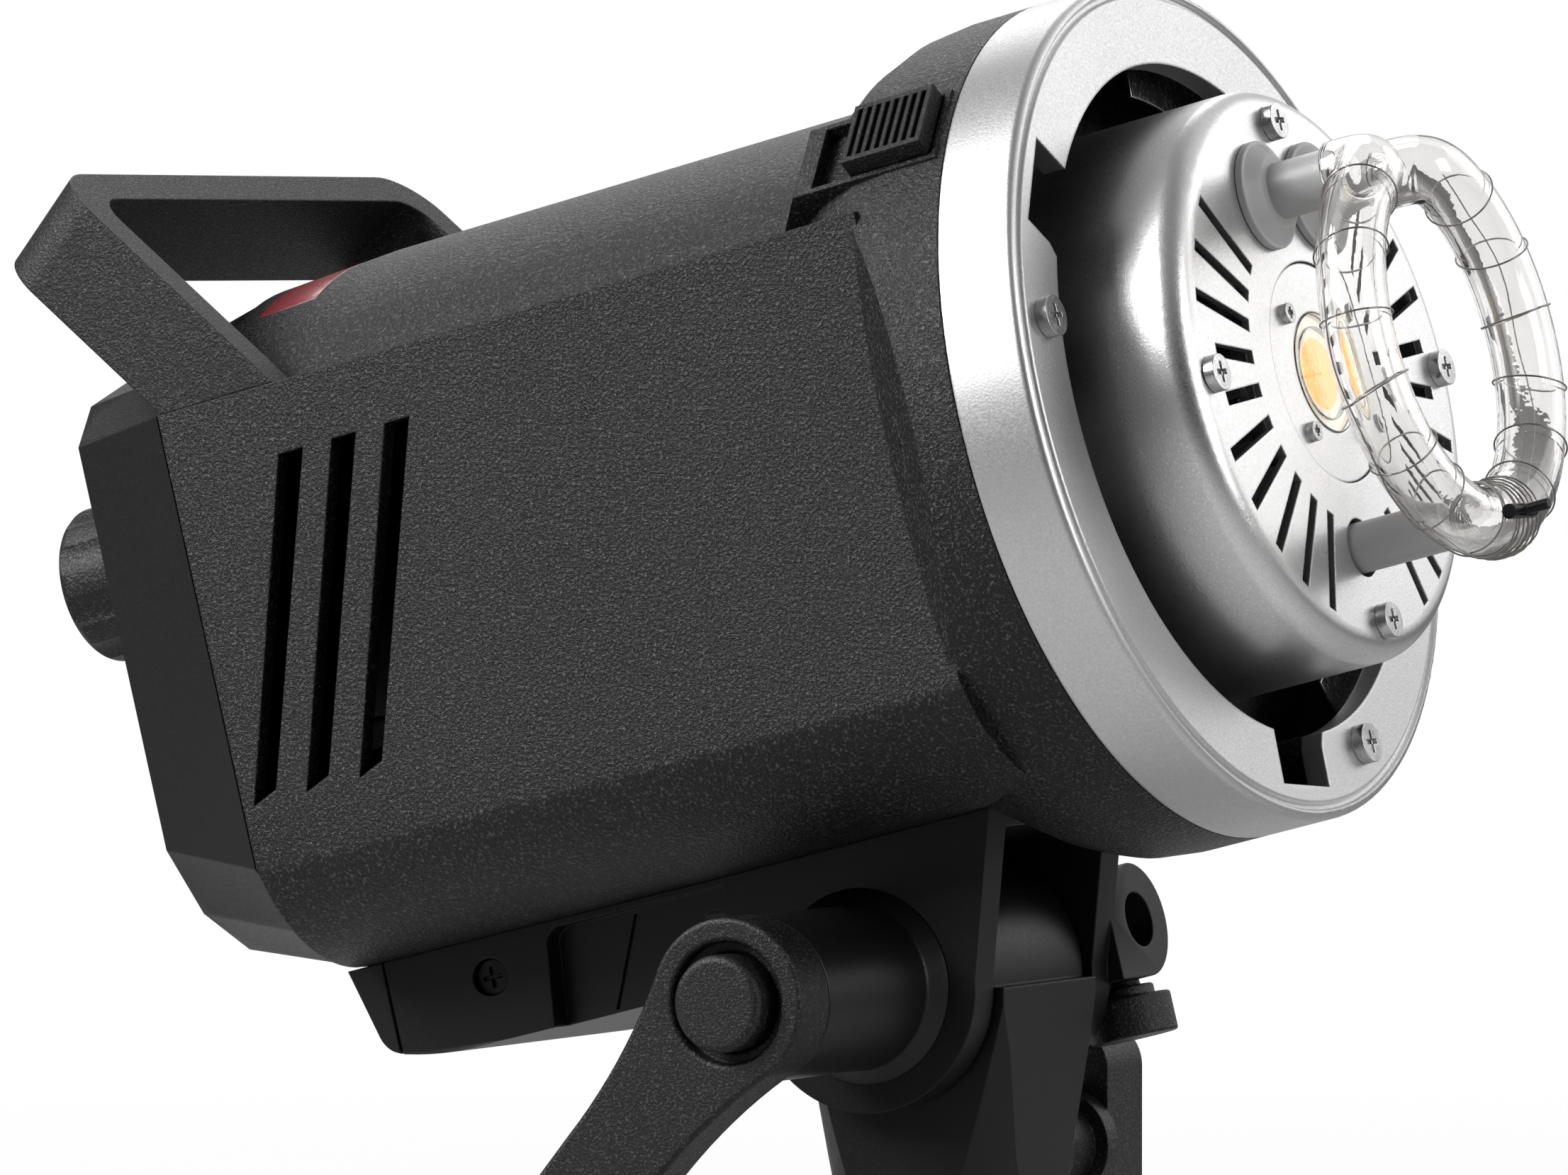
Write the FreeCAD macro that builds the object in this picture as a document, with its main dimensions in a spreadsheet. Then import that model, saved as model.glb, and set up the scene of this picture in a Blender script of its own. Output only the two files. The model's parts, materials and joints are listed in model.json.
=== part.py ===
"""Monolight strobe: a studio flash head on a tilting stand bracket.

Every length is in millimetres. Two frames are used.
Stand frame: origin at the centre of the stand socket's mouth, +Z up the socket, +X towards the lamp.
Head frame: origin at the centre of the bayonet ring's front face, +X out of the lamp, +Z up.
Head pieces are drawn level in the head frame and then placed, nose up, about the tilt pivot.
"""
import FreeCAD
import math
import os
import re
import Part
import Sketcher

DOC = FreeCAD.newDocument("monolight")
SHEET = DOC.addObject("Spreadsheet::Sheet", "dims")
PROBE = DOC.addObject("Part::Sphere", "probe")
NODES = []

# Driving dimensions: name, value, what it measures.
DIMENSIONS = [
    ("nose_up", 14.4, "rest tilt of the head, degrees"),
    ("pivot_up", 62, "tilt pivot above the socket mouth"),
    ("pivot_back", -3, "tilt pivot ahead of the socket axis"),
    ("pivot_x", -69, "tilt pivot in the head frame, along X"),
    ("pivot_z", -70.6, "tilt pivot in the head frame, along Z"),
    ("wall", 3, "housing wall"),
    ("gap", 0.2, "assembly gap between fixed pieces"),
    ("run", 0.05, "radial running clearance"),
    ("barrel_r", 55, "barrel outer radius"),
    ("tail_r", 54, "barrel radius at the rear seam"),
    ("collar_r", 62.5, "front collar outer radius"),
    ("collar_end", -12, "front edge of the collar"),
    ("side_y", 53, "half width over the flat sides"),
    ("side_top", 34.4, "upper edge of the flat sides"),
    ("side_low", -34, "lower edge of the flat sides"),
    ("floor_z", -50, "underside of the housing"),
    ("floor_y", 29, "half width of the flat underside"),
    ("flat_end", -26, "front end of the flat sides"),
    ("seam_x", -146, "seam between the housing and the rear cover"),
    ("slope_x", -125, "where the barrel's top starts to slope down"),
    ("rear_x", -166, "rear face of the rear cover"),
    ("rise_x", 227, "centre of the side wall's curve ahead of the ring"),
    ("rise_r", 256, "radius of the side wall's curve at the flat sides"),
    ("vent_wide", 4.3, "vent slot width"),
    ("vent_pitch", 9.3, "vent slot pitch"),
    ("vent_top", 24, "upper end of the vent slots"),
    ("vent_low", -25, "lower end of the vent slots"),
    ("ring_r", 62.5, "bayonet ring outer radius"),
    ("ring_open", 50, "bayonet ring opening radius"),
    ("ring_flange", 3.5, "bayonet ring flange thickness"),
    ("notch_r", 57.5, "bayonet notch outer radius"),
    ("notch_wide", 14.5, "bayonet notch width"),
    ("notch_turn", 25.5, "angle of the first bayonet notch, degrees from +Y"),
    ("ring_screw_r", 54.5, "pitch radius of the ring screws"),
    ("ring_screw_turn", 47, "angle of the first ring screw, degrees from +Y"),
    ("drum_r", 42.5, "lamp drum outer radius"),
    ("drum_front", 15.5, "front face of the lamp drum"),
    ("drum_skin", 1.2, "lamp drum sheet thickness"),
    ("drum_edge", 4, "lamp drum edge radius"),
    ("drum_screw_r", 37, "pitch radius of the drum screws"),
    ("slot_wide", 2, "lamp drum slot width"),
    ("slot_inner", 22.6, "slot inner radius"),
    ("slot_outer", 38, "slot outer radius"),
    ("slot_short", 34, "outer radius of the slots beside the side screws"),
    ("plate_r", 16.2, "modelling light plate radius"),
    ("tube_ring", 26.8, "flash tube centre-line radius"),
    ("tube_r", 5, "flash tube outer radius"),
    ("tube_bore", 3.8, "flash tube inner radius"),
    ("tube_x", 34.5, "plane of the flash tube ring"),
    ("tube_start", 27.6, "where the flash tube leaves its posts"),
    ("post_y", 8, "half spacing of the upper tube posts"),
    ("post_z", 26, "height of the upper tube posts"),
    ("post_r", 4.15, "tube post radius"),
    ("strap_lean", 37, "backward lean of the handle, degrees"),
    ("strap_out", 51.5, "half width over the handle"),
    ("strap_thick", 6, "handle strap thickness"),
    ("strap_wide", 15.8, "handle strap width"),
    ("strap_high", 43.2, "handle height along its lean"),
    ("strap_x", -136.4, "handle foot position along X"),
    ("cheek_in", 15.7, "inner face of each cheek"),
    ("cheek_out", 21.5, "outer face of each cheek"),
    ("cheek_r", 18.5, "cheek radius about the pivot"),
    ("bolt_r", 4, "tilt bolt radius (M8)"),
    ("tongue_y", 14.65, "half width of the adapter tongue"),
    ("tongue_r", 17.4, "adapter tongue radius about the pivot"),
    ("hub_r", 12.2, "lever hub radius"),
    ("hub_in", 53.5, "inner face of the lever"),
    ("hub_out", 62.5, "outer face of the lever"),
    ("lever_len", 97, "pivot to the centre of the lever's round tip"),
    ("lever_half", 7.6, "half width of the lever arm"),
    ("lever_turn", 129.3, "lever direction from +X about +Y, degrees"),
    ("push_r", 7, "lever button radius"),
    ("socket_r", 8.05, "stand socket bore radius (5/8 inch stud)"),
    ("socket_deep", 48, "stand socket depth"),
    ("neck_r", 16.6, "adapter neck outer radius"),
    ("grip_z", 35, "height of the stand knob axis"),
    ("umbrella_r", 4.15, "umbrella shaft hole radius"),
    ("umbrella_y", 29.5, "umbrella hole position along Y"),
    ("umbrella_z", -68, "umbrella hole position along Z"),
    ("panel_x", -166, "rear face of the control panel"),
    ("dial_y", -27, "control dial position along Y"),
    ("dial_z", 15.5, "control dial position along Z"),
    ("dial_r", 11.8, "control dial radius"),
    ("fan_r", 27, "fan blade tip radius"),
    ("fan_x", -118, "fan position along X"),
]
ALIASES = {name for name, value, note in DIMENSIONS}
for row, (name, value, note) in enumerate(DIMENSIONS, start=1):
    SHEET.set("A%d" % row, note)
    SHEET.set("B%d" % row, str(value))
    SHEET.setAlias("B%d" % row, name)
DOC.recompute()


def bound(text):
    """The text with every dimension name pointed at its spreadsheet cell."""
    return re.sub(r"[a-z_]+", lambda m: "dims." + m[0] if m[0] in ALIASES else m[0], str(text))


def size(text):
    """The number that a dimension expression has now."""
    return float(PROBE.evalExpression(bound(text)))


def at(x, y, z):
    return FreeCAD.Vector(size(x), size(y), size(z))


PIVOT_IN_STAND = at("pivot_back", 0, "pivot_up")
PIVOT_IN_HEAD = at("pivot_x", 0, "pivot_z")
TILT = FreeCAD.Rotation(FreeCAD.Vector(0, 1, 0), -size("nose_up"))
HEAD = FreeCAD.Placement(PIVOT_IN_STAND - TILT.multVec(PIVOT_IN_HEAD), TILT)
STAND = FreeCAD.Placement()


def keep(item, label, frame=HEAD, local=None):
    """Name a finished piece and place it. A lone primitive is wrapped, since its own place is bound."""
    if item.TypeId in ("Part::Cylinder", "Part::Box"):
        item = group(item)
    item.Label = label
    item.Placement = frame.multiply(local) if local else frame
    NODES.append(item)


# ---- Part primitives and booleans -------------------------------------------------------------
AIMS = {
    "x": FreeCAD.Rotation(FreeCAD.Vector(0, 1, 0), 90),
    "y": FreeCAD.Rotation(FreeCAD.Vector(1, 0, 0), -90),
    "z": FreeCAD.Rotation(),
}


def put(item, x, y, z):
    for axis, text in zip("xyz", (x, y, z)):
        item.setExpression("Placement.Base." + axis, bound(text))
    return item


def rod(axis, radius, x, y, z, length, sector=None):
    """A cylinder that starts at x, y, z and runs along +axis."""
    item = DOC.addObject("Part::Cylinder", "rod")
    item.setExpression("Radius", bound(radius))
    item.setExpression("Height", bound(length))
    item.Placement.Rotation = AIMS[axis]
    if sector:
        item.Angle = sector
    return put(item, x, y, z)


def cone(axis, first, last, x, y, z, length):
    item = DOC.addObject("Part::Cone", "cone")
    item.setExpression("Radius1", bound(first))
    item.setExpression("Radius2", bound(last))
    item.setExpression("Height", bound(length))
    item.Placement.Rotation = AIMS[axis]
    return put(item, x, y, z)


def block(x, y, z, long, wide, tall):
    """A box with its lowest corner at x, y, z."""
    item = DOC.addObject("Part::Box", "block")
    item.setExpression("Length", bound(long))
    item.setExpression("Width", bound(wide))
    item.setExpression("Height", bound(tall))
    return put(item, x, y, z)


def fuse(*items):
    item = DOC.addObject("Part::MultiFuse", "fuse")
    item.Shapes = list(items)
    return item


def cut(base, *tools):
    item = DOC.addObject("Part::Cut", "cut")
    item.Base = base
    item.Tool = tools[0] if len(tools) == 1 else fuse(*tools)
    return item


def group(*items):
    """Separate solids that share one node."""
    item = DOC.addObject("Part::Compound", "group")
    item.Links = list(items)
    return item


def around(count, first=0.0):
    """Evenly spaced angles, in degrees."""
    return [first + 360.0 * step / count for step in range(count)]


def ring_of(count, first, radius, make):
    """Call make(y, z) at evenly spaced places on a circle about the X axis."""
    turns = ["(%s + %s)" % (first, angle) for angle in around(count)]
    return [make("%s * cos(%s)" % (radius, t), "%s * sin(%s)" % (radius, t)) for t in turns]


def pan_screw(axis, head_r, head_high, shank_r, length, x, y, z):
    """A screw whose head sits beyond x, y, z on the +axis side, with a cross recess."""
    step = {"x": (1, 0, 0), "y": (0, 1, 0), "z": (0, 0, 1)}[axis]
    centre = ["%s" % part for part in (x, y, z)]
    low = ["%s - %s" % (c, length * s) for c, s in zip(centre, step)]
    top = ["%s + %s" % (c, (head_high - 0.8) * s) for c, s in zip(centre, step)]
    across = [n for n in range(3) if not step[n]]
    solid = fuse(rod(axis, head_r, *centre, head_high), rod(axis, shank_r, *low, length + 0.4))
    bars = []
    for long_way in across:
        spans = [1.0 if step[n] else (head_r * 1.1 if n == long_way else 0.7) for n in range(3)]
        corner = ["%s - %s" % (t, 0 if step[n] else spans[n] / 2) for n, t in enumerate(top)]
        bars.append(block(*corner, *spans))
    return cut(solid, *bars)


# ---- PartDesign bodies ------------------------------------------------------------------------
def new_body():
    return DOC.addObject("PartDesign::Body", "body")


def datum(body, role):
    return [item for item in body.Origin.OriginFeatures if item.Role == role][0]


def sketch_on(body, role, shift=0, turn=0):
    """An empty sketch on an origin plane, shifted along its normal or turned about its X axis."""
    sketch = body.newObject("Sketcher::SketchObject", "sketch")
    sketch.AttachmentSupport = [(datum(body, role), "")]
    sketch.MapMode = "FlatFace"
    turned = FreeCAD.Rotation(FreeCAD.Vector(1, 0, 0), turn)
    sketch.AttachmentOffset = FreeCAD.Placement(turned.multVec(FreeCAD.Vector(0, 0, size(shift))), turned)
    if not turn:
        sketch.setExpression("AttachmentOffset.Base.z", bound(shift))
    return sketch


def pin_point(sketch, geometry, end, u, v):
    """Fix a point of the sketch at two dimension expressions."""
    for kind, text in (("DistanceX", u), ("DistanceY", v)):
        made = sketch.addConstraint(Sketcher.Constraint(kind, -1, 1, geometry, end, size(text)))
        if any(name in str(text) for name in ALIASES):
            sketch.setExpression("Constraints[%d]" % made, bound(text))


def arc_through(start, mid, end):
    """A counter-clockwise sketch arc, and whether it runs from start to end."""
    through = Part.Circle(start, mid, end)
    centre, radius = through.Center, through.Radius
    angles = [math.atan2(spot.y - centre.y, spot.x - centre.x) for spot in (start, mid, end)]
    full = 2 * math.pi
    forward = (angles[1] - angles[0]) % full < (angles[2] - angles[0]) % full
    first, last = (angles[0], angles[2]) if forward else (angles[2], angles[0])
    circle = Part.Circle(centre, FreeCAD.Vector(0, 0, 1), radius)
    return Part.ArcOfCircle(circle, first, first + (last - first) % full), forward


def draw(sketch, points):
    """A closed outline. A point is (u, v), or (u, v, mid_u, mid_v) when an arc leads to it."""
    spots = [FreeCAD.Vector(size(p[0]), size(p[1]), 0) for p in points]
    first = sketch.GeometryCount
    count = len(points)
    ends = []
    for number, point in enumerate(points):
        start = spots[number - 1]
        if len(point) == 4:
            mid = FreeCAD.Vector(size(point[2]), size(point[3]), 0)
            arc, forward = arc_through(start, mid, spots[number])
            sketch.addGeometry(arc)
            ends.append((1, 2) if forward else (2, 1))
        else:
            sketch.addGeometry(Part.LineSegment(start, spots[number]))
            ends.append((1, 2))
    for number in range(count):
        after = (number + 1) % count
        joined = (first + number, ends[number][1], first + after, ends[after][0])
        sketch.addConstraint(Sketcher.Constraint("Coincident", *joined))
    for number, point in enumerate(points):
        pin_point(sketch, first + number, ends[number][1], point[0], point[1])
        if len(point) == 4:
            chord = spots[number] - spots[number - 1]
            centre = sketch.Geometry[first + number].Center
            kind, place = ("DistanceX", centre.x) if abs(chord.y) > abs(chord.x) else ("DistanceY", centre.y)
            sketch.addConstraint(Sketcher.Constraint(kind, -1, 1, first + number, 3, place))


def draw_circle(sketch, u, v, radius):
    circle = Part.Circle(FreeCAD.Vector(size(u), size(v), 0), FreeCAD.Vector(0, 0, 1), size(radius))
    made = sketch.addGeometry(circle)
    limit = sketch.addConstraint(Sketcher.Constraint("Radius", made, size(radius)))
    sketch.setExpression("Constraints[%d]" % limit, bound(radius))
    pin_point(sketch, made, 3, u, v)


def outline(body, role, *shapes, shift=0, turn=0):
    """A sketch of closed outlines (lists of points) and circles (three-part tuples)."""
    sketch = sketch_on(body, role, shift, turn)
    for shape in shapes:
        if isinstance(shape, tuple):
            draw_circle(sketch, *shape)
        else:
            draw(sketch, shape)
    return sketch


def box_points(u0, v0, u1, v1):
    return [(u0, v0), (u1, v0), (u1, v1), (u0, v1)]


def feature(body, kind, sketch, removes):
    """Finish a sketch based feature and check that it adds or removes material."""
    DOC.recompute()
    before = body.Tip.Shape.Volume if body.Tip and body.Tip.TypeId != sketch.TypeId else 0.0
    made = body.newObject("PartDesign::" + kind, kind.lower())
    made.Profile = sketch
    return made, before, removes


def settle(body, made, before, removes):
    DOC.recompute()
    after = made.Shape.Volume
    if (removes and after > before - 1e-3) or (not removes and after < before + 1e-3):
        raise RuntimeError("%s %s changed nothing: %s -> %s" % (body.Label, made.Name, before, after))
    return made


def pad(body, sketch, length, both=False, back=False):
    made, before, removes = feature(body, "Pad", sketch, False)
    made.setExpression("Length", bound(length))
    made.Midplane = both
    made.Reversed = back
    return settle(body, made, before, removes)


def pocket(body, sketch, length, both=False, back=False):
    made, before, removes = feature(body, "Pocket", sketch, True)
    made.setExpression("Length", bound(length))
    if both:
        made.SideType = "Symmetric"
    made.Reversed = back
    return settle(body, made, before, removes)


def revolve(body, sketch, axis="X_Axis", angle=360, both=False):
    made, before, removes = feature(body, "Revolution", sketch, False)
    made.ReferenceAxis = (datum(body, axis), [""])
    made.Angle = angle
    made.Midplane = both
    return settle(body, made, before, removes)


def groove(body, sketch, axis="X_Axis", angle=360, both=False):
    made, before, removes = feature(body, "Groove", sketch, True)
    made.ReferenceAxis = (datum(body, axis), [""])
    made.Angle = angle
    made.Midplane = both
    return settle(body, made, before, removes)


def loft(body, first, last, removes=False):
    made, before, removes = feature(body, "SubtractiveLoft" if removes else "AdditiveLoft", first, removes)
    made.Sections = [last]
    made.Ruled = True
    return settle(body, made, before, removes)


def polar(body, source, count, axis="X_Axis"):
    made = body.newObject("PartDesign::PolarPattern", "polar")
    made.Originals = [source]
    made.Axis = (datum(body, axis), [""])
    made.Angle = 360
    made.Occurrences = count
    body.Tip = made
    DOC.recompute()
    return made


# ---- Housing ----------------------------------------------------------------------------------
def section(side, top, low, floor, floor_half, arc_r, ledge):
    """The housing's cross-section: flat sides, a round top, and a curved underside."""
    lift = "sqrt((%s) ^ 2 - (%s) ^ 2)" % (arc_r, ledge)
    belly_y = "((%s) * 0.5 + (%s) * 0.5 + 3.4)" % (side, floor_half)
    belly_z = "((%s) * 0.5 + (%s) * 0.5 - 3.4)" % (low, floor)
    right = [(floor_half, floor), (side, low, belly_y, belly_z), (side, top), (lift, ledge)]
    crown = [("-" + lift, ledge, 0, arc_r)]
    left = [("-(%s)" % side, top), ("-(%s)" % side, low)]
    foot = [("-(%s)" % floor_half, floor, "-" + belly_y, belly_z)]
    return right + crown + left + foot


def make_main_housing():
    body = new_body()
    side = outline(body, "YZ_Plane", section("side_y", "side_top", "side_low", "floor_z", "floor_y",
                                             "tail_r", "side_top"), shift="seam_x")
    pad(body, side, "flat_end - seam_x")
    barrel = [("seam_x", 0), ("seam_x", "tail_r"), ("slope_x", "barrel_r"), (-42.5, "barrel_r"),
              (-39, "barrel_r + 1.6"), (-33.5, "barrel_r + 5"), (-28, "collar_r - 0.6"), (-22, "collar_r"),
              ("collar_end - gap", "collar_r"), ("collar_end - gap", 0)]
    revolve(body, outline(body, "XY_Plane", barrel))
    under = [("seam_x - 1", "floor_z"), (-41.5, "floor_z"), (-29, -61.8), (-29, -70), ("seam_x - 1", -70)]
    pocket(body, outline(body, "XZ_Plane", under), 140, both=True)
    fore = section("side_y - wall", "side_top - wall", "side_low + 1", "floor_z + wall",
                   "floor_y - 1", "barrel_r - wall", "side_top - wall")
    pocket(body, outline(body, "YZ_Plane", fore, shift=-124), 95, back=True)
    aft = section("side_y - wall", "side_top - wall", "side_low + 1", "floor_z + wall",
                  "floor_y - 1", "tail_r - wall", "side_top - wall")
    pocket(body, outline(body, "YZ_Plane", aft, shift="seam_x - 0.5"), 23, back=True)
    platform = [(-42, 53), (-41.6, 57), (-37, 62.6), (-13.4, 62.6), (-13.4, 53)]
    pad(body, outline(body, "XZ_Plane", platform, turn=45), 14.2, both=True)
    mouth = [(-30, 0), (-30, 46), (-25, 57), (-22, "collar_r - wall"),
             ("collar_end", "collar_r - wall"), ("collar_end", 0)]
    groove(body, outline(body, "XY_Plane", mouth))
    slots = []
    for number in range(3):
        top_x = "(-125 + %d * vent_pitch)" % number
        low_x = "(-142 + %d * vent_pitch)" % number
        half = "vent_wide * 0.5"
        slots.append([(low_x + " - " + half, "vent_low"), (low_x + " + " + half, "vent_low + 1.6"),
                      (top_x + " + " + half, "vent_top"), (top_x + " - " + half, "vent_top")])
    pocket(body, outline(body, "XZ_Plane", *slots), 130, both=True)
    window = [(-142.5, 30), (-142.5, 60), (-131.3, 60), (-131.3, 30)]
    groove(body, outline(body, "XZ_Plane", window), angle=55.6, both=True)
    channel = box_points(-34.1, -6.2, -14.3, 6.2)
    pocket(body, outline(body, "XY_Plane", channel, shift=66, turn=45), 5.7)
    stem_slot = box_points(-29.3, -3.2, -16.7, 3.2)
    pocket(body, outline(body, "XY_Plane", stem_slot, shift=66, turn=45), 20)
    trims = []
    for start, first, last in (("-side_y - 22", "rise_r - 22", "rise_r"), ("side_y", "rise_r", "rise_r - 22")):
        side_stock = block(-170, start, -60, 160, 22, 120)
        trims.append(cut(side_stock, cone("y", first, last, "rise_x", start, 0, 22)))
    keep(cut(body, *trims), "main_housing")


def panel_shape(inset):
    """Outline of the opening in the rear cover, which the control panel fills."""
    half = [(25, -39.5 + inset), (34, -34.5 + inset), (40 - inset, -25), (40 - inset, 29.5),
            (33.5, 31.5 - inset), (28.5, 35.6 - inset), (14.5, 40 - inset)]
    return half + [(-u, v) for u, v in reversed(half)]


def make_rear_cover():
    body = new_body()

    def skin(shift, side, low, floor, floor_half, upper, inset=0):
        belly = ((side + floor_half) / 2 + 2 - inset, (low + floor) / 2 - 2 + inset)
        half = [(floor_half - inset / 2, floor + inset), belly]
        half += [(side - inset, low), (side - inset, size("side_top") - inset)]
        half += [(u - inset, v - inset) for u, v in upper]
        mirror = [(-u, v) for u, v in reversed(half)]
        return outline(body, "YZ_Plane", half + mirror, shift=shift)

    seam_top = [(41, 34.5), (32, 43.2), (15, 51.6)]
    rear_top = [(43.2, 35.2), (38, 40.6), (22, 45.6)]
    loft(body, skin("seam_x - gap", 53, -34, -50, 29, seam_top), skin("rear_x", 44, -27, -43, 27, rear_top))
    loft(body, skin("seam_x", 53, -34, -50, 29, seam_top, 3),
         skin("rear_x + 3", 44.5, -27, -43, 27, rear_top, 3), removes=True)
    pocket(body, outline(body, "YZ_Plane", panel_shape(0), shift="rear_x - 1"), 5, back=True)
    keep(body, "rear_cover")


# Rear panel layout in Y, Z: buttons run left to right as seen from behind.
BUTTONS = {"model_button": 32, "sync_button": 20, "group_button": 8, "sound_button": -4, "test_button": -16}
BUTTON_Z = -3.5


def make_control_panel():
    body = new_body()
    pad(body, outline(body, "YZ_Plane", panel_shape(0.2), shift="panel_x + 0.2"), 2.6)
    cuts = [box_points(-12, 8, 26, 32), ("dial_y", "dial_z", 5), box_points(17.2, -33.2, 30.8, -12.8),
            box_points(-30, -34, -2, -13), (7.5, -16, 3.1), box_points(3, -30, 12, -25)]
    cuts += [box_points(y - 4.2, BUTTON_Z - 2.7, y + 4.2, BUTTON_Z + 2.7) for y in BUTTONS.values()]
    pocket(body, outline(body, "YZ_Plane", *cuts, shift="panel_x - 1"), 6, back=True)
    keep(body, "control_panel")


def make_panel_parts():
    keep(block("panel_x + 0.3", -11.8, 8.2, 1.2, 37.6, 23.6), "display_window")
    screen = fuse(block("panel_x + 2.9", -13.5, 6.5, 3, 41, 27), block("panel_x + 1.6", -11, 9, 1.4, 36, 22))
    keep(screen, "display_module")
    board = cut(block("panel_x + 8.5", -34, -34, 1.6, 68, 62),
                rod("x", 3.6, "panel_x + 8", "dial_y", "dial_z", 3), block("panel_x + 8", -31, -36, 3, 63, 25))
    keep(board, "control_board")
    for label, y in BUTTONS.items():
        cap = fuse(block("panel_x - 1.2", y - 4, BUTTON_Z - 2.5, 5.2, 8, 5),
                   block("panel_x + 3.6", y - 5, BUTTON_Z - 3.5, 1.2, 10, 7))
        keep(cap, label)
    jack = cut(rod("x", 3, "panel_x - 0.6", 7.5, -16, 12), rod("x", 1.78, "panel_x - 1", 7.5, -16, 10))
    keep(jack, "sync_jack")
    port = cut(block("panel_x + 0.4", 3.1, -29.9, 9, 8.8, 4.8), block("panel_x", 4, -29.1, 7, 7, 3.2),)
    keep(port, "service_port")


def make_power_parts():
    inlet = cut(fuse(block("panel_x + 0.3", -29.8, -33.8, 20, 27.6, 20.6),
                     block("panel_x + 3.2", -31.5, -35, 2, 31, 23)),
                block("panel_x", -28, -31.6, 16.5, 24, 16.4))
    pins = [block("panel_x + 2.5", y - 1, z - 2, 26, 2, 4) for y, z in ((-16, -20), (-23, -26), (-9, -26))]
    keep(cut(inlet, group(*[block("panel_x + 2.5", y - 1.05, z - 2.05, 26, 2.1, 4.1)
                            for y, z in ((-16, -20), (-23, -26), (-9, -26))])), "power_inlet")
    keep(group(*pins), "inlet_pins")
    frame = cut(block("panel_x + 0.3", 17.3, -33.1, 16, 13.4, 20.2),
                block("panel_x", 18.6, -31.9, 12, 10.8, 17.8))
    keep(frame, "switch_frame")
    body = new_body()
    shape = [(-2.6, -8.4), (0.4, 0), (-2.6, 8.4), (5, 7.5), (7.4, 0), (5, -7.5)]
    pad(body, outline(body, "XZ_Plane", shape), 10.4, both=True)
    turned = FreeCAD.Rotation(FreeCAD.Vector(0, 1, 0), -8)
    keep(body, "power_rocker", HEAD, FreeCAD.Placement(at("panel_x + 1.5", 24, -23), turned))


def make_dial():
    body = new_body()
    knob = [(-178.3, 0), (-178.3, 9), (-175.7, "dial_r", -177.7, 11.1), (-167.2, "dial_r"), (-167.2, 9),
            (-173.4, 9), (-173.4, 0)]
    revolve(body, outline(body, "XY_Plane", knob))
    hub = [(-173.8, 0), (-173.8, 5.5), (-168, 5.5), (-168, 0)]
    revolve(body, outline(body, "XY_Plane", hub))
    pocket(body, outline(body, "YZ_Plane", (0, 0, 3), shift=-174.9), 12, back=True)
    lobe = outline(body, "YZ_Plane", ("dial_r + 5.3", 0, 6), shift=-179)
    polar(body, pocket(body, lobe, 14, back=True), 9)
    keep(body, "control_dial", HEAD, FreeCAD.Placement(at(0, "dial_y", "dial_z"), FreeCAD.Rotation()))
    keep(fuse(rod("x", 3, -174.9, "dial_y", "dial_z", 17.4), rod("x", 1.2, -157.6, "dial_y", "dial_z", 2)),
         "encoder_shaft")
    sleeve = cut(rod("x", 4, -166.9, "dial_y", "dial_z", 7), rod("x", "3 + run", -168, "dial_y", "dial_z", 9))
    keep(sleeve, "encoder_rotor")
    lower = block(-155.4, "dial_y - 6", "dial_z - 6", 6, 12, 12)
    keep(cut(lower, rod("x", 1.6, -156, "dial_y", "dial_z", 3)), "encoder_switch")


def make_sensor_window():
    body = new_body()
    slope = "(barrel_r - tail_r) / (slope_x - seam_x)"
    rear = "tail_r + (-142.3 - seam_x) * %s" % slope
    front = "tail_r + (-131.5 - seam_x) * %s" % slope
    lens = [(-142.3, rear), (-131.5, front), (-131.5, front + " - 2.2"), (-142.3, rear + " - 2.2")]
    revolve(body, outline(body, "XZ_Plane", lens), angle=55, both=True)
    keep(body, "sensor_window")


def make_carry_handle():
    body = new_body()
    inner = "(strap_out - strap_thick)"
    crown = "(strap_high - 9)"
    outside = [("strap_out", -12), ("strap_out", crown), ("strap_out - 9", "strap_high",
               "strap_out - 2.6", "strap_high - 2.6"), ("9 - strap_out", "strap_high"),
               ("-strap_out", crown, "2.6 - strap_out", "strap_high - 2.6"), ("-strap_out", -12)]
    inside = [("-" + inner, -12), ("-" + inner, crown + " - 2"),
              ("5 - " + inner, "strap_high - strap_thick", "1.5 - " + inner, "strap_high - strap_thick - 1.5"),
              (inner + " - 5", "strap_high - strap_thick"),
              (inner, crown + " - 2", inner + " - 1.5", "strap_high - strap_thick - 1.5"), (inner, -12)]
    pad(body, outline(body, "YZ_Plane", outside + inside), "strap_wide", both=True)
    low = "15 * tan(strap_lean)"
    foot = [(-15, low), (15, "-" + low), (15, "-" + low + " - 20"), (-15, "-" + low + " - 10")]
    pocket(body, outline(body, "XZ_Plane", foot), 120, both=True)
    for place in (-45, 45):
        hole = outline(body, "XY_Plane", (0, place, 1.5), shift=-8)
        pocket(body, hole, 20, back=True)
    lean = FreeCAD.Rotation(FreeCAD.Vector(0, 1, 0), -size("strap_lean"))
    keep(body, "carry_handle", HEAD, FreeCAD.Placement(at("strap_x", 0, "side_top + gap"), lean))


# ---- Keel and tilt bracket --------------------------------------------------------------------
def keel_round(hand):
    """Outline of what is taken off to round one lower edge of the keel."""
    return [(22.8 * hand, -66.2), (29.6 * hand, -59, 27.9 * hand, -64), (34 * hand, -59), (34 * hand, -70),
            (22.8 * hand, -70)]


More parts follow.
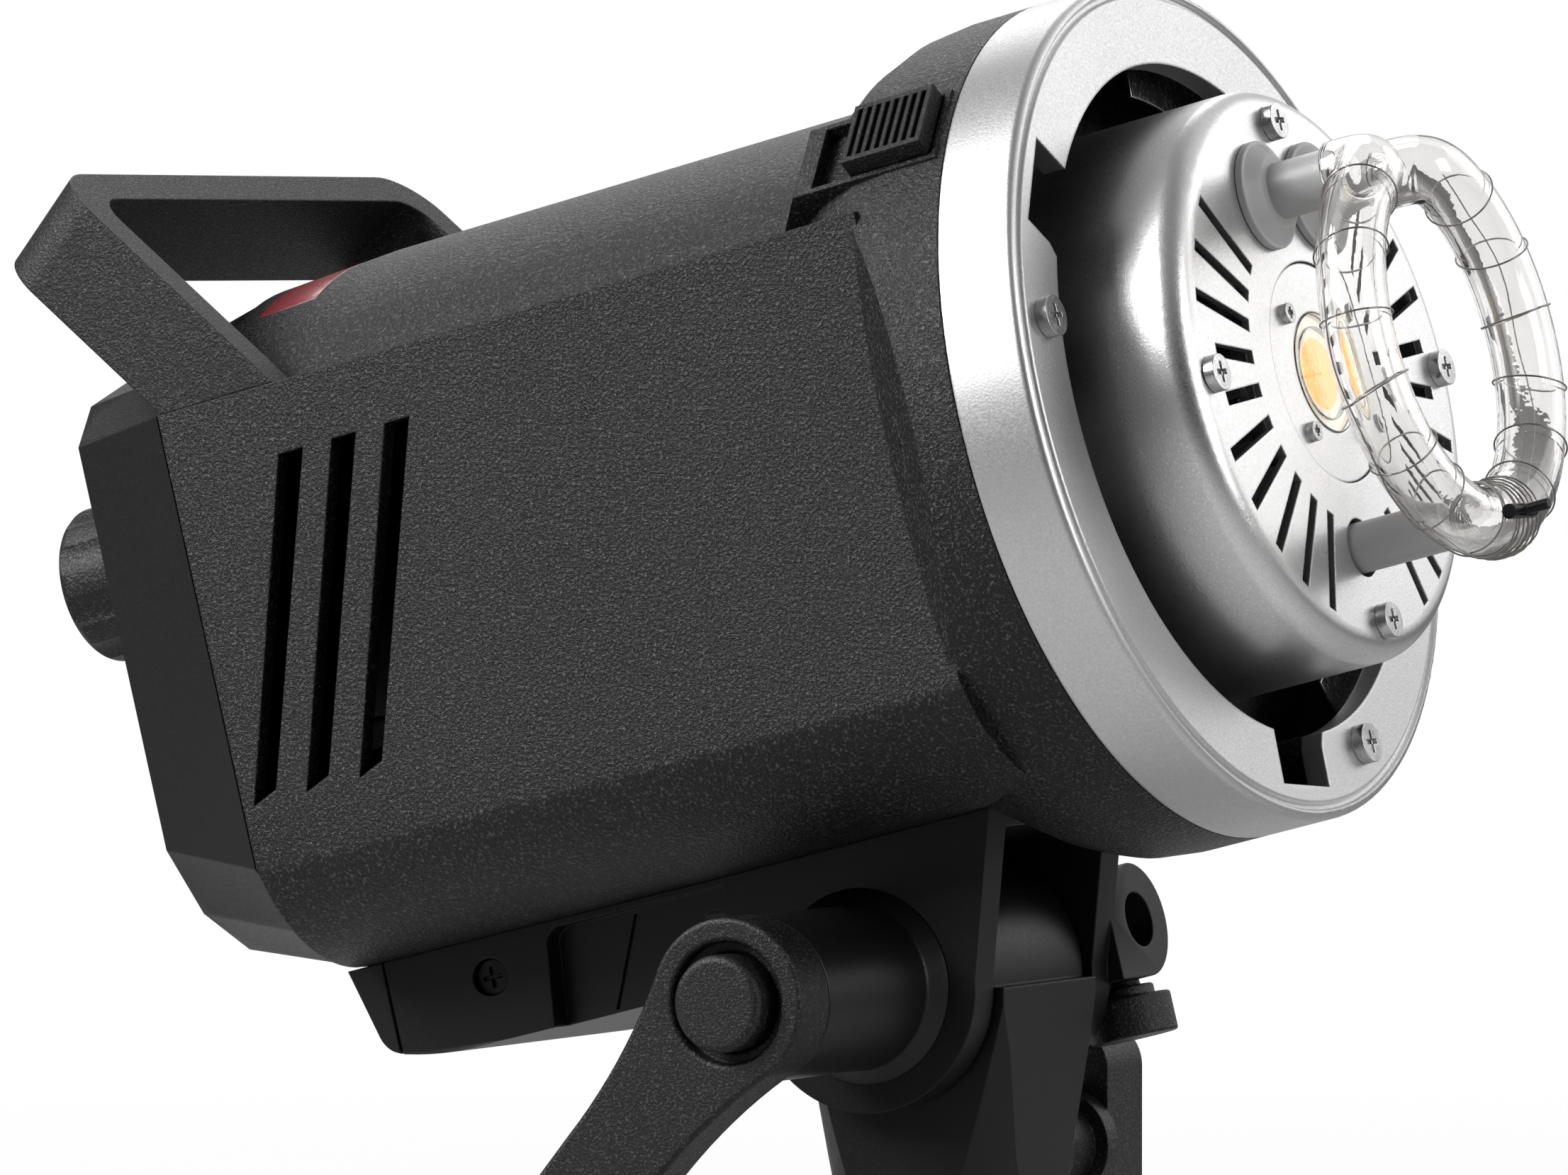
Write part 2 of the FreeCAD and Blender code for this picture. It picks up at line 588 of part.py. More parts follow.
def make_keel_housing():
    body = new_body()
    top = "(floor_z - 0.05)"
    rear_rim = "(pivot_x - cheek_r)"
    side = [(-143.2, top), (-143.2, -64), (-131, -65.5, -138, -65.1), (-97, -65.5),
            (-93, -61.5, -94.2, -64.3), (-93, -57), (-90.7, -54.5, -92.4, -55.1), (-88.4, -57, -89, -55.1),
            (rear_rim, "pivot_z"), ("pivot_x + 18.3", "pivot_z - 3", "pivot_x - 1", "pivot_z - cheek_r"),
            (-42.3, top)]
    pad(body, outline(body, "XZ_Plane", side), 58, both=True)
    taper = []
    for hand in (1, -1):
        taper.append([(-150, 29 * hand), (-90, "cheek_out * %d" % hand), (-40, "cheek_out * %d" % hand),
                      (-40, 45 * hand), (-150, 45 * hand)])
    pocket(body, outline(body, "XY_Plane", *taper, shift=-40), 60)
    slot = [(-90.5, -52.9), (-38, -52.9), (-38, -95), (-90.5, -95)]
    pocket(body, outline(body, "XZ_Plane", slot), "cheek_in * 2", both=True)
    recess = [(-119.6, -72), (-117.2, -54.2), (-113.8, -51.2, -116.3, -51.9), (-88, -51.2), (-88, -72)]
    seam_line = [(-103.6, -52), (-103.1, -52), (-109.6, -65), (-110.1, -65)]
    for hand in (1, -1):
        for shape, floor_y in ((recess, 21.2), (seam_line, 20.6)):
            pocket(body, outline(body, "XZ_Plane", shape, shift=floor_y * hand), 12, back=(hand > 0))
    for hand in (1, -1):
        pocket(body, outline(body, "YZ_Plane", keel_round(hand), shift=-150), 32, back=True)
    hollow = box_points(-139, -19, -100, 19)
    pocket(body, outline(body, "XY_Plane", hollow, shift=-40), 21.5)
    ear = [("cheek_out - 1", -61.5), ("umbrella_y", "umbrella_z + 8.6"),
           ("umbrella_y", "umbrella_z - 8.6", "umbrella_y + 8.6", "umbrella_z"),
           ("cheek_out - 1", "umbrella_z - 8.6")]
    pad(body, outline(body, "YZ_Plane", ear, shift=-58.5), 10)
    shaft_hole = ("umbrella_y", "umbrella_z", "umbrella_r")
    pocket(body, outline(body, "YZ_Plane", shaft_hole, shift=-60), 16, back=True)
    pocket(body, outline(body, "XY_Plane", (-53.5, "umbrella_y", "2.5 + run"), shift=-80), 12, back=True)
    pocket(body, outline(body, "XZ_Plane", ("pivot_x", "pivot_z", "bolt_r + run")), 60, both=True)
    nut = [("pivot_x + 7.7 * cos(%d)" % a, "pivot_z + 7.7 * sin(%d)" % a) for a in range(0, 360, 60)]
    pocket(body, outline(body, "XZ_Plane", nut, shift="-cheek_out - 1"), 5.2, back=True)
    for hand in (1, -1):
        for radius, deep in ((2.8, 6), (1.6, 9)):
            sketch = outline(body, "XZ_Plane", (-127, -56, radius), shift=30 * hand)
            pocket(body, sketch, deep, back=(hand < 0))
    keep(body, "keel_housing")


def make_keel_parts():
    body = new_body()
    top = "(floor_z - 0.05)"
    cap = [(-143.4, top), (-149.3, top), (-146.4, -60.5), (-143.4, -63.9, -145.3, -62.6)]
    pad(body, outline(body, "XZ_Plane", cap), 57, both=True)
    for hand in (1, -1):
        pocket(body, outline(body, "YZ_Plane", keel_round(hand), shift=-150), 32, back=True)
    keep(body, "keel_cap")
    screws = []
    for hand in (1, -1):
        solid = fuse(rod("y", 2.6, -127, 24.7 * hand - 0.6, -56, 1.2),
                     rod("y", 1.4, -127, 22.9 * hand - 1.7, -56, 3.4))
        face_y = 25.1 * hand - 0.4
        screws.append(cut(solid, block(-128.6, face_y, -56.3, 3.2, 0.8, 0.6),
                          block(-127.3, face_y, -57.6, 0.6, 0.8, 3.2)))
    keep(group(*screws), "keel_screws")
    spacer = cut(fuse(rod("y", 12, "pivot_x", "0.1 - hub_in", "pivot_z", "hub_in - cheek_out - 0.2"),
                      cone("y", 12, 14.5, "pivot_x", "-cheek_out - 2.6", "pivot_z", 2.5)),
                 rod("y", "bolt_r + run", "pivot_x", -70, "pivot_z", 60))
    keep(spacer, "lever_spacer")
    body = new_body()
    head = [("pivot_x + 7.5 * cos(%d)" % a, "pivot_z + 7.5 * sin(%d)" % a) for a in range(0, 360, 60)]
    pad(body, outline(body, "XZ_Plane", head, shift="-cheek_out + 0.2"), 3.8)
    pad(body, outline(body, "XZ_Plane", ("pivot_x", "pivot_z", "bolt_r"), shift=-20), 75.3)
    keep(body, "tilt_bolt")
    washers = []
    for start in ("tongue_y + 0.05", "-cheek_in + 0.05"):
        ring = cut(rod("y", 15, "pivot_x", start, "pivot_z", "cheek_in - tongue_y - 0.1"),
                   rod("y", "bolt_r + 0.2", "pivot_x", start + " - 1", "pivot_z", 3))
        washers.append(ring)
    keep(group(*washers), "friction_washers")


def make_lever():
    body = new_body()
    half = "lever_half"
    arm = [(0, "hub_r", "-hub_r", 0), (5, "hub_r - 1.05", 2.5, "hub_r - 0.25"),
           (32, half, 17, "lever_half + 0.9"),
           ("lever_len", half), ("lever_len", "-" + half, "lever_len + lever_half", 0), (32, "-" + half),
           (5, "1.05 - hub_r", 17, "-0.9 - lever_half"), (0, "-hub_r", 2.5, "0.25 - hub_r")]
    pad(body, outline(body, "XZ_Plane", arm, shift="hub_in"), "hub_out - hub_in")
    pocket(body, outline(body, "XZ_Plane", (0, 0, 8.7), shift="hub_out + 1"), 3.2)
    pocket(body, outline(body, "XZ_Plane", (0, 0, "push_r + run"), shift="hub_out + 1"), 7.7)
    pocket(body, outline(body, "XZ_Plane", (0, 0, "bolt_r + run"), shift="hub_out + 1"), 20)
    under = [(20, -4), (26, -5), ("lever_len", -5), ("lever_len", 5, "lever_len + 5", 0), (26, 5), (20, 4)]
    pocket(body, outline(body, "XZ_Plane", under, shift="hub_in - 1"), 6, back=True)
    turned = FreeCAD.Rotation(FreeCAD.Vector(0, 1, 0), size("lever_turn"))
    keep(body, "tilt_lever", FreeCAD.Placement(PIVOT_IN_STAND, turned))
    body = new_body()
    push = [(0, -65.5), (5.8, -65.5), ("push_r", -64.3, 6.65, -65.15), ("push_r", -59.1), (0, -59.1)]
    revolve(body, outline(body, "XY_Plane", push), axis="Y_Axis")
    keep(body, "lever_button", FreeCAD.Placement(PIVOT_IN_STAND, FreeCAD.Rotation()))


# ---- Front: bayonet ring, lamp drum, modelling light, flash tube ------------------------------
def make_bayonet_ring():
    body = new_body()
    profile = [(0, "ring_open"), (0, "ring_r - 2.6"), (-0.7, "ring_r - 2.2"), (-0.7, "ring_r - 1.6"),
               (0, "ring_r - 1.2"), (-1.2, "ring_r", -0.35, "ring_r - 0.35"), ("collar_end", "ring_r"),
               ("collar_end", "ring_r - 2.6"), ("-ring_flange", "ring_r - 2.6"), ("-ring_flange", "ring_open")]
    revolve(body, outline(body, "XY_Plane", profile))
    for number in range(3):
        turn = "(notch_turn + %d)" % (120 * number)
        corners = []
        for out, side in ((40, -0.5), ("notch_r", -0.5), ("notch_r", 0.5), ("ring_open + 1.5", 0.5),
                          (40, 0.86)):
            along = "(%s)" % out
            across = "(%s * notch_wide)" % side
            corners.append(("%s * cos%s - %s * sin%s" % (along, turn, across, turn),
                            "%s * sin%s + %s * cos%s" % (along, turn, across, turn)))
        pocket(body, outline(body, "YZ_Plane", corners, shift=1), 6)
    for number in range(3):
        turn = "(ring_screw_turn + %d)" % (120 * number)
        spot = ("ring_screw_r * cos%s" % turn, "ring_screw_r * sin%s" % turn, 1.6)
        pocket(body, outline(body, "YZ_Plane", spot, shift=1), 6)
    keep(body, "bayonet_ring")


def make_ring_parts():
    screws = ring_of(3, "ring_screw_turn", "ring_screw_r",
                     lambda y, z: pan_screw("x", 3, 1.8, 1.45, 16, 0.02, y, z))
    keep(group(*screws), "ring_screws")
    plate = rod("x", "collar_r - wall - gap", -22, 0, 0, 2)
    posts = ring_of(3, "ring_screw_turn", "ring_screw_r", lambda y, z: rod("x", 3.4, -20.5, y, z, 16.9))
    tapped = ring_of(3, "ring_screw_turn", "ring_screw_r", lambda y, z: rod("x", 1.5, -17, y, z, 20))
    pin_hole = rod("x", 2.2, -23, "-54.5 * sin(45)", "54.5 * cos(45)", 5)
    stem_way = group(block(-23, -3.4, 51.5, 4, 6.8, 10))
    stem_way.Placement.Rotation = FreeCAD.Rotation(FreeCAD.Vector(1, 0, 0), 45)
    opening = rod("x", "drum_r + 1.5", -23, 0, 0, 5)
    keep(cut(fuse(plate, *posts), opening, pin_hole, stem_way, *tapped), "front_bulkhead")
    springs = []
    for angle in around(3, 12.5):
        leaf = cut(rod("x", 56, -8.2, 0, 0, 0.5, sector=24), rod("x", 47.4, -9, 0, 0, 2))
        leaf_turn = FreeCAD.Rotation(FreeCAD.Vector(1, 0, 0), angle - 103)
        leaf.Placement = FreeCAD.Placement(FreeCAD.Vector(), leaf_turn)
        springs.append(leaf)
    keep(group(*springs), "bayonet_springs")


def make_release_slider():
    upright = FreeCAD.Placement(FreeCAD.Vector(), FreeCAD.Rotation(FreeCAD.Vector(1, 0, 0), 45))
    body = new_body()
    pad(body, outline(body, "XY_Plane", box_points(-27.7, -5.9, -14.7, 5.9), shift=60.5), 4.8)
    pad(body, outline(body, "XY_Plane", box_points(-23, -3, -17, 3), shift=60.5), 8.2, back=True)
    ribs = [box_points(-26.9 + 1.5 * n, -5, -26.1 + 1.5 * n, 5) for n in range(8)]
    pocket(body, outline(body, "XY_Plane", *ribs, shift=66), 1.5)
    pocket(body, outline(body, "YZ_Plane", (0, 54.5, 1.9), shift=-24), 8, back=True)
    keep(body, "release_slider", HEAD, upright)
    keep(fuse(rod("x", 1.85, -22.5, 0, 54.5, 16.5), cone("x", 1.85, 0.9, -6, 0, 54.5, 1.6)),
         "lock_pin", HEAD, upright)


def make_lamp_drum():
    body = new_body()
    inner = "(drum_r - drum_skin)"
    face = "(drum_front - drum_skin)"
    shell = [("drum_front", 0), ("drum_front", "drum_r - drum_edge"),
             ("drum_front - drum_edge", "drum_r", "drum_front - 1.17", "drum_r - 1.17"), (-24, "drum_r"),
             (-24, inner), ("drum_front - drum_edge", inner),
             (face, "drum_r - drum_edge", "drum_front - 2.02", "drum_r - 2.02"), (face, 0)]
    revolve(body, outline(body, "XY_Plane", shell))
    half = "slot_wide * 0.5"
    short = box_points("slot_inner", "-" + half, "slot_short", half)
    full = box_points("slot_inner", "-" + half, "slot_outer", half)
    plain = [18, 30, 42, -18, -30, -42, -54, -66]
    angles = [(turn, full) for turn in plain] + [(180 - turn, full) for turn in plain]
    angles += [(turn, short) for turn in (6, -6, 174, 186)]
    for turn, points in angles:
        spun = [("(%s) * cos(%d) - (%s) * sin(%d)" % (u, turn, v, turn),
                 "(%s) * sin(%d) + (%s) * cos(%d)" % (u, turn, v, turn)) for u, v in points]
        pocket(body, outline(body, "YZ_Plane", spun, shift="drum_front + 1"), 6)
    holes = [(0, 0, "plate_r + 0.25"), (-1.5, -26, "post_r + 0.2")]
    holes += [("post_y * %d" % hand, "post_z", "post_r + 0.2") for hand in (1, -1)]
    holes += [("drum_screw_r * cos(%d)" % turn, "drum_screw_r * sin(%d)" % turn, 1.6)
              for turn in (0, 90, 180, 270)]
    pocket(body, outline(body, "YZ_Plane", *holes, shift="drum_front + 1"), 6)
    keep(body, "lamp_drum")


def make_lamp_parts():
    screws = ring_of(4, 0, "drum_screw_r",
                     lambda y, z: pan_screw("x", 2.7, 1.7, 1.45, 8, "drum_front + 0.02", y, z))
    keep(group(*screws), "drum_screws")
    posts = ring_of(4, 0, "drum_screw_r",
                    lambda y, z: rod("x", 2.7, -26, y, z, "26 + drum_front - drum_skin - 0.5"))
    tapped = ring_of(4, 0, "drum_screw_r", lambda y, z: rod("x", 1.5, 4, y, z, 20))
    sockets = [rod("x", "post_r + 0.1", -30, y, z, 10)
               for y, z in (("post_y", "post_z"), ("-post_y", "post_z"), (-1.5, -26))]
    keep(cut(fuse(rod("x", 45, -26.2, 0, 0, 2), *posts), *tapped, *sockets), "lamp_chassis")
    plate = cut(rod("x", "plate_r", 14, 0, 0, 1.2), rod("x", 9, 13, 0, 0, 4),
                *ring_of(4, 45, 12.3, lambda y, z: rod("x", 0.9, 13, y, z, 4)))
    keep(plate, "led_plate")
    keep(group(*ring_of(4, 45, 12.3, lambda y, z: pan_screw("x", 1.5, 1.0, 0.8, 5, 15.22, y, z))), "led_screws")
    keep(fuse(rod("x", 8.8, 11.6, 0, 0, 1.6), rod("x", 6.7, 13.2, 0, 0, 0.5)), "led_emitter")
    lens = cut(rod("x", 8.8, 13.3, 0, 0, 2.1), rod("x", 6.9, 13, 0, 0, 1.4))
    keep(lens, "led_lens")
    fins = [block(-24, -17, z, 33.6, 34, 1.6) for z in range(-14, 15, 4)]
    core = rod("x", 15.6, 8.2, 0, 0, 3.3)
    sink = fuse(core, block(-24, -4, -14, 33.6, 8, 29.6), *fins)
    bores = ring_of(4, 45, 12.3, lambda y, z: rod("x", 0.95, 9, y, z, 6))
    rim = rod("x", 15.6, 11.4, 0, 0, 2.5)
    keep(cut(fuse(sink, rim), rod("x", 9, 11.5, 0, 0, 4), *bores), "led_heat_sink")


def make_flash_tube():
    """A glass ring, open at the top, whose two ends turn back into the upper posts."""
    ring, plane, spread, lift = size("tube_ring"), size("tube_x"), size("post_y"), size("post_z")
    bend = 6.2
    start = size("tube_start")
    far = math.degrees(math.atan2(lift, spread)) - math.degrees(bend * 1.35 / ring)
    edge = FreeCAD.Vector(plane, ring * math.cos(math.radians(far)), ring * math.sin(math.radians(far)))
    foot = FreeCAD.Vector(start, spread, lift)
    knee = FreeCAD.Vector(plane - bend, spread, lift)
    tangent = FreeCAD.Vector(0, math.sin(math.radians(far)), -math.cos(math.radians(far)))
    turn = Part.BSplineCurve()
    turn.interpolate([knee, edge], Tangents=[FreeCAD.Vector(bend * 1.5, 0, 0), tangent * bend * 1.5],
                     TangentFlags=[True, True])
    flip = lambda v: FreeCAD.Vector(v.x, -v.y, v.z)
    other = Part.BSplineCurve()
    other.interpolate([flip(edge), flip(knee)], Tangents=[flip(tangent) * -bend * 1.5,
                      FreeCAD.Vector(-bend * 1.5, 0, 0)], TangentFlags=[True, True])
    loop = Part.Arc(edge, FreeCAD.Vector(plane, 0, -ring), flip(edge))
    path = Part.Wire([Part.LineSegment(foot, knee).toShape(), turn.toShape(), loop.toShape(),
                      other.toShape(), Part.LineSegment(flip(knee), flip(foot)).toShape()])
    ahead = FreeCAD.Vector(1, 0, 0)
    pipes = []
    for radius in (size("tube_r"), size("tube_bore")):
        mouth = Part.Wire(Part.Circle(foot, ahead, radius).toShape())
        pipes.append(path.makePipeShell([mouth], True, False))
    tube = DOC.addObject("Part::Feature", "flash_tube")
    tube.Shape = pipes[0].cut(pipes[1])
    keep(tube, "flash_tube")
    turns = 13
    steps = 9 * turns
    coil_r = size("tube_r") + 0.4
    points = []
    for step in range(steps + 1):
        along = math.radians(62 - 304.0 * step / steps)
        spin = 2 * math.pi * turns * step / steps
        out = ring + coil_r * math.cos(spin)
        across = out * math.cos(along)
        points.append(FreeCAD.Vector(plane + coil_r * math.sin(spin), across, out * math.sin(along)))
    coil = Part.BSplineCurve()
    coil.interpolate(points)
    spine = Part.Wire(coil.toShape())
    loop = Part.Wire(Part.Circle(points[0], coil.tangent(coil.FirstParameter)[0], 0.22).toShape())
    wire = DOC.addObject("Part::Feature", "trigger_wire")
    wire.Shape = spine.makePipeShell([loop], True, False)
    keep(wire, "trigger_wire")


def make_tube_parts():
    def post(y, z, reach, bore):
        solid = fuse(rod("x", "post_r", -25.9, y, z, "%s + 25.9" % reach),
                     rod("x", 8, "drum_front + 0.05", y, z, 1.2),
                     cone("x", 7.6, 5.4, "drum_front + 1.2", y, z, 1.8))
        return cut(solid, rod("x", 1.35, bore, y, z, 80))
    upper = [post("post_y * %d" % hand, "post_z", "tube_start - 0.1", -27) for hand in (1, -1)]
    lower = rod("x", 3.7, -25.9, -1.5, -26, "tube_x - tube_r - 0.6 + 25.9")
    keep(group(*upper, lower), "tube_posts")
    pins = []
    for hand in (1, -1):
        y = "post_y * %d" % hand
        pins.append(fuse(rod("x", 1.25, -25, y, "post_z", "tube_start + 25 + 1"),
                         rod("x", 2.3, "tube_start + 0.4", y, "post_z", 2.4)))
    keep(group(*pins), "tube_electrodes")
    clip = fuse(rod("y", 1.1, "tube_x + 6.6", -5.5, "-tube_ring", 8),
                rod("x", 0.8, "tube_x + 6.2", -1.5, "-tube_ring", 5))
    keep(clip, "tube_clip")


# ---- Inside the housing -----------------------------------------------------------------------
def make_inside():
    keep(fuse(block(-108, -38, -44, 74, 76, 1.6), block(-100, -30, -42.5, 8, 60, 14)), "main_board")
    cans = [fuse(rod("x", 14, -104, y, -12, 56), rod("x", 12.5, -105.5, y, -12, 2)) for y in (-20, 20)]
    keep(group(*cans), "capacitors")
    coil = fuse(block(-92, -17, 14, 36, 34, 22), block(-86, -21, 18, 24, 42, 14))
    keep(coil, "transformer")
    hole = rod("x", "fan_r + 1.2", "fan_x - 7", 0, 0, 14)
    frame = cut(block("fan_x - 6", -30, -30, 12, 60, 60), hole)
    hub_plate = rod("x", 11, "fan_x + 4.4", 0, 0, 1.5)
    arms = [block("fan_x + 4.4", -29, -1.5, 1.5, 58, 3), block("fan_x + 4.4", -1.5, -29, 1.5, 3, 58)]
    keep(cut(fuse(frame, hub_plate, *arms), rod("x", 1.1, "fan_x + 3", 0, 0, 4)), "fan_frame")
    body = new_body()
    pad(body, outline(body, "YZ_Plane", (0, 0, 10.5), shift="fan_x - 5.5"), 9.4)
    pad(body, outline(body, "YZ_Plane", (0, 0, 1), shift="fan_x + 3.8"), 2)
    blade = [(9.5, -4.4), ("fan_r", -2.2), ("fan_r", -0.6), (9.5, -2.4)]
    sketch = outline(body, "YZ_Plane", blade, shift="fan_x - 5")
    polar(body, pad(body, sketch, 8), 7)
    keep(body, "fan_rotor")


# ---- Stand adapter ----------------------------------------------------------------------------
def make_stand_adapter():
    body = new_body()
    side = [("pivot_back - tongue_r", "pivot_up", "pivot_back", "pivot_up + tongue_r"),
            ("pivot_back - 16.8", 48), (-14.7, 34), (-14.7, 26),
            (16, 26), (15.6, 36), ("pivot_back + 19.6", 52), ("pivot_back + 19.6", "pivot_up"),
            ("pivot_back + tongue_r", "pivot_up")]
    pad(body, outline(body, "XZ_Plane", side), "tongue_y * 2", both=True)
    trim = [(16.9, 20), (16.9, 31), (22.6, 62), (24, 72), (40, 72), (40, 20)]
    groove(body, outline(body, "XZ_Plane", trim), axis="Z_Axis")
    tube = [(0, 0), (18.2, 0), (18.6, 1, 18.5, 0.4), (18.6, 6), (16.6, 9, 17.2, 7.2), ("neck_r", 31), (0, 31)]
    revolve(body, outline(body, "XZ_Plane", tube), axis="Z_Axis")
    pad(body, outline(body, "XZ_Plane", (0, "grip_z", 8), shift=-24.5), 14)
    pocket(body, outline(body, "XY_Plane", (0, 0, "socket_r")), "socket_deep", back=True)
    pocket(body, outline(body, "XZ_Plane", (0, "grip_z", "4 + run"), shift=-26), 26, back=True)
    pocket(body, outline(body, "XZ_Plane", ("pivot_back", "pivot_up", "bolt_r + run")), 60, both=True)
    keep(body, "stand_adapter", STAND)


def make_stand_knob():
    body = new_body()
    wing = [(6.4, "grip_z - 11.2", 0, "grip_z - 17.6"), (6.4, "grip_z + 11.2"),
            (-6.4, "grip_z + 11.2", 0, "grip_z + 17.6"), (-6.4, "grip_z - 11.2")]
    pad(body, outline(body, "XZ_Plane", wing, shift=-50), 11.5)
    pad(body, outline(body, "XZ_Plane", (0, "grip_z", 8.2), shift=-38.6), 3.4)
    pad(body, outline(body, "XZ_Plane", (0, "grip_z", 6), shift=-35.4), 9)
    pad(body, outline(body, "XZ_Plane", (0, "grip_z", 4), shift=-27), 14.8)
    keep(body, "stand_knob", STAND)
    keep(rod("y", 3.95, 0, 8.6, "grip_z", 3.4), "clamp_pad", STAND)


def make_umbrella_lock():
    body = new_body()
    shank = outline(body, "XY_Plane", (-53.5, "umbrella_y", 2.5), shift="umbrella_z - 6")
    pad(body, shank, 8, back=True)
    pad(body, outline(body, "XY_Plane", (-53.5, "umbrella_y", 4.4), shift="umbrella_z - 9.4"), 2, back=True)
    pad(body, outline(body, "XY_Plane", (-53.5, "umbrella_y", 6.6), shift="umbrella_z - 11"), 6, back=True)
    keep(body, "umbrella_knob")
    keep(rod("z", 2.45, -53.5, "umbrella_y", "umbrella_z - 5.9", 1.3), "umbrella_shoe")


for make in (make_main_housing, make_rear_cover, make_control_panel, make_panel_parts, make_power_parts,
             make_dial, make_sensor_window, make_carry_handle, make_keel_housing, make_keel_parts, make_lever,
             make_bayonet_ring, make_ring_parts, make_release_slider, make_lamp_drum, make_lamp_parts,
             make_flash_tube, make_tube_parts, make_inside, make_stand_adapter, make_stand_knob,
             make_umbrella_lock):
    make()
DOC.recompute()

for item in DOC.Objects:
    if "Invalid" in item.State or "Error" in item.State:
        raise RuntimeError("%s (%s) failed: %s" % (item.Name, item.Label, item.State))
os.makedirs("parts", exist_ok=True)
for item in NODES:
    if item.Shape.isNull() or not item.Shape.isValid() or not item.Shape.Solids:
        raise RuntimeError("%s has no valid solid" % item.Label)
for item in NODES:
    item.Shape.exportStep("parts/%s.step" % item.Label)
    print("%-20s %2d solids %9.0f mm3" % (item.Label, len(item.Shape.Solids), item.Shape.Volume))
print(len(NODES), "nodes")
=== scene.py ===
"""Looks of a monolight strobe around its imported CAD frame: materials, fine pieces, light and camera."""
import json
import math
import random

import bpy
from mathutils import Matrix, Vector


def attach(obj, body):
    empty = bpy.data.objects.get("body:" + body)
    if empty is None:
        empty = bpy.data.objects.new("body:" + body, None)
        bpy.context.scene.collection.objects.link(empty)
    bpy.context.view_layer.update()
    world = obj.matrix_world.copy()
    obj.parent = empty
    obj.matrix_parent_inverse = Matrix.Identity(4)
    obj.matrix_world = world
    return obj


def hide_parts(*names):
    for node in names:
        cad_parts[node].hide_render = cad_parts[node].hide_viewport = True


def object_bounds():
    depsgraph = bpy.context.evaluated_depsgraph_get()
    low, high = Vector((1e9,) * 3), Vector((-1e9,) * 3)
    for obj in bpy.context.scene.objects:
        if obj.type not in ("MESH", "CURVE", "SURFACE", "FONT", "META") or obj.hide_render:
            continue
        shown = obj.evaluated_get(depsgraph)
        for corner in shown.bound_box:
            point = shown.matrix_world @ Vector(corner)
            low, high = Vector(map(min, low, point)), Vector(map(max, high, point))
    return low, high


MM = 0.001

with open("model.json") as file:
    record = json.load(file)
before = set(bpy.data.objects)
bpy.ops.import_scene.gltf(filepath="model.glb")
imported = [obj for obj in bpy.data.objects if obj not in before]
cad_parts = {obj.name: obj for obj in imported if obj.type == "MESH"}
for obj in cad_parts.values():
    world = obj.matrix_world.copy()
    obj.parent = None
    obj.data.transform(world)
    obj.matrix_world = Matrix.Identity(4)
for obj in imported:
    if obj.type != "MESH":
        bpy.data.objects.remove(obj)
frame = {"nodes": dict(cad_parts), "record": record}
cad_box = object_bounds()
record = frame["record"]
nodes = frame["nodes"]

# ---- Head frame: +X the lamp's axis, +Y the umbrella side, +Z up, millimetres from the ring's face ----
face = next(m for m in record["mounts"] if m["name"] == "modifier_bayonet")
HEAD_X = Vector(face["axis"]).normalized()
HEAD_Y = Vector((0, 1, 0))
HEAD_Z = HEAD_X.cross(HEAD_Y)
HEAD_ORIGIN = Vector(face["pos_m"])
HEAD_AXES = Matrix((HEAD_X * MM, HEAD_Y * MM, HEAD_Z * MM)).transposed().to_4x4()
HEAD = Matrix.Translation(HEAD_ORIGIN) @ HEAD_AXES
HEAD_INVERSE = HEAD.inverted()
HEAD_BODY = "head"


def head_box(name):
    """Lowest and highest corner of a CAD node in the head frame, in millimetres."""
    points = [HEAD_INVERSE @ v.co for v in nodes[name].data.vertices]
    return (Vector(min(p[i] for p in points) for i in range(3)),
            Vector(max(p[i] for p in points) for i in range(3)))


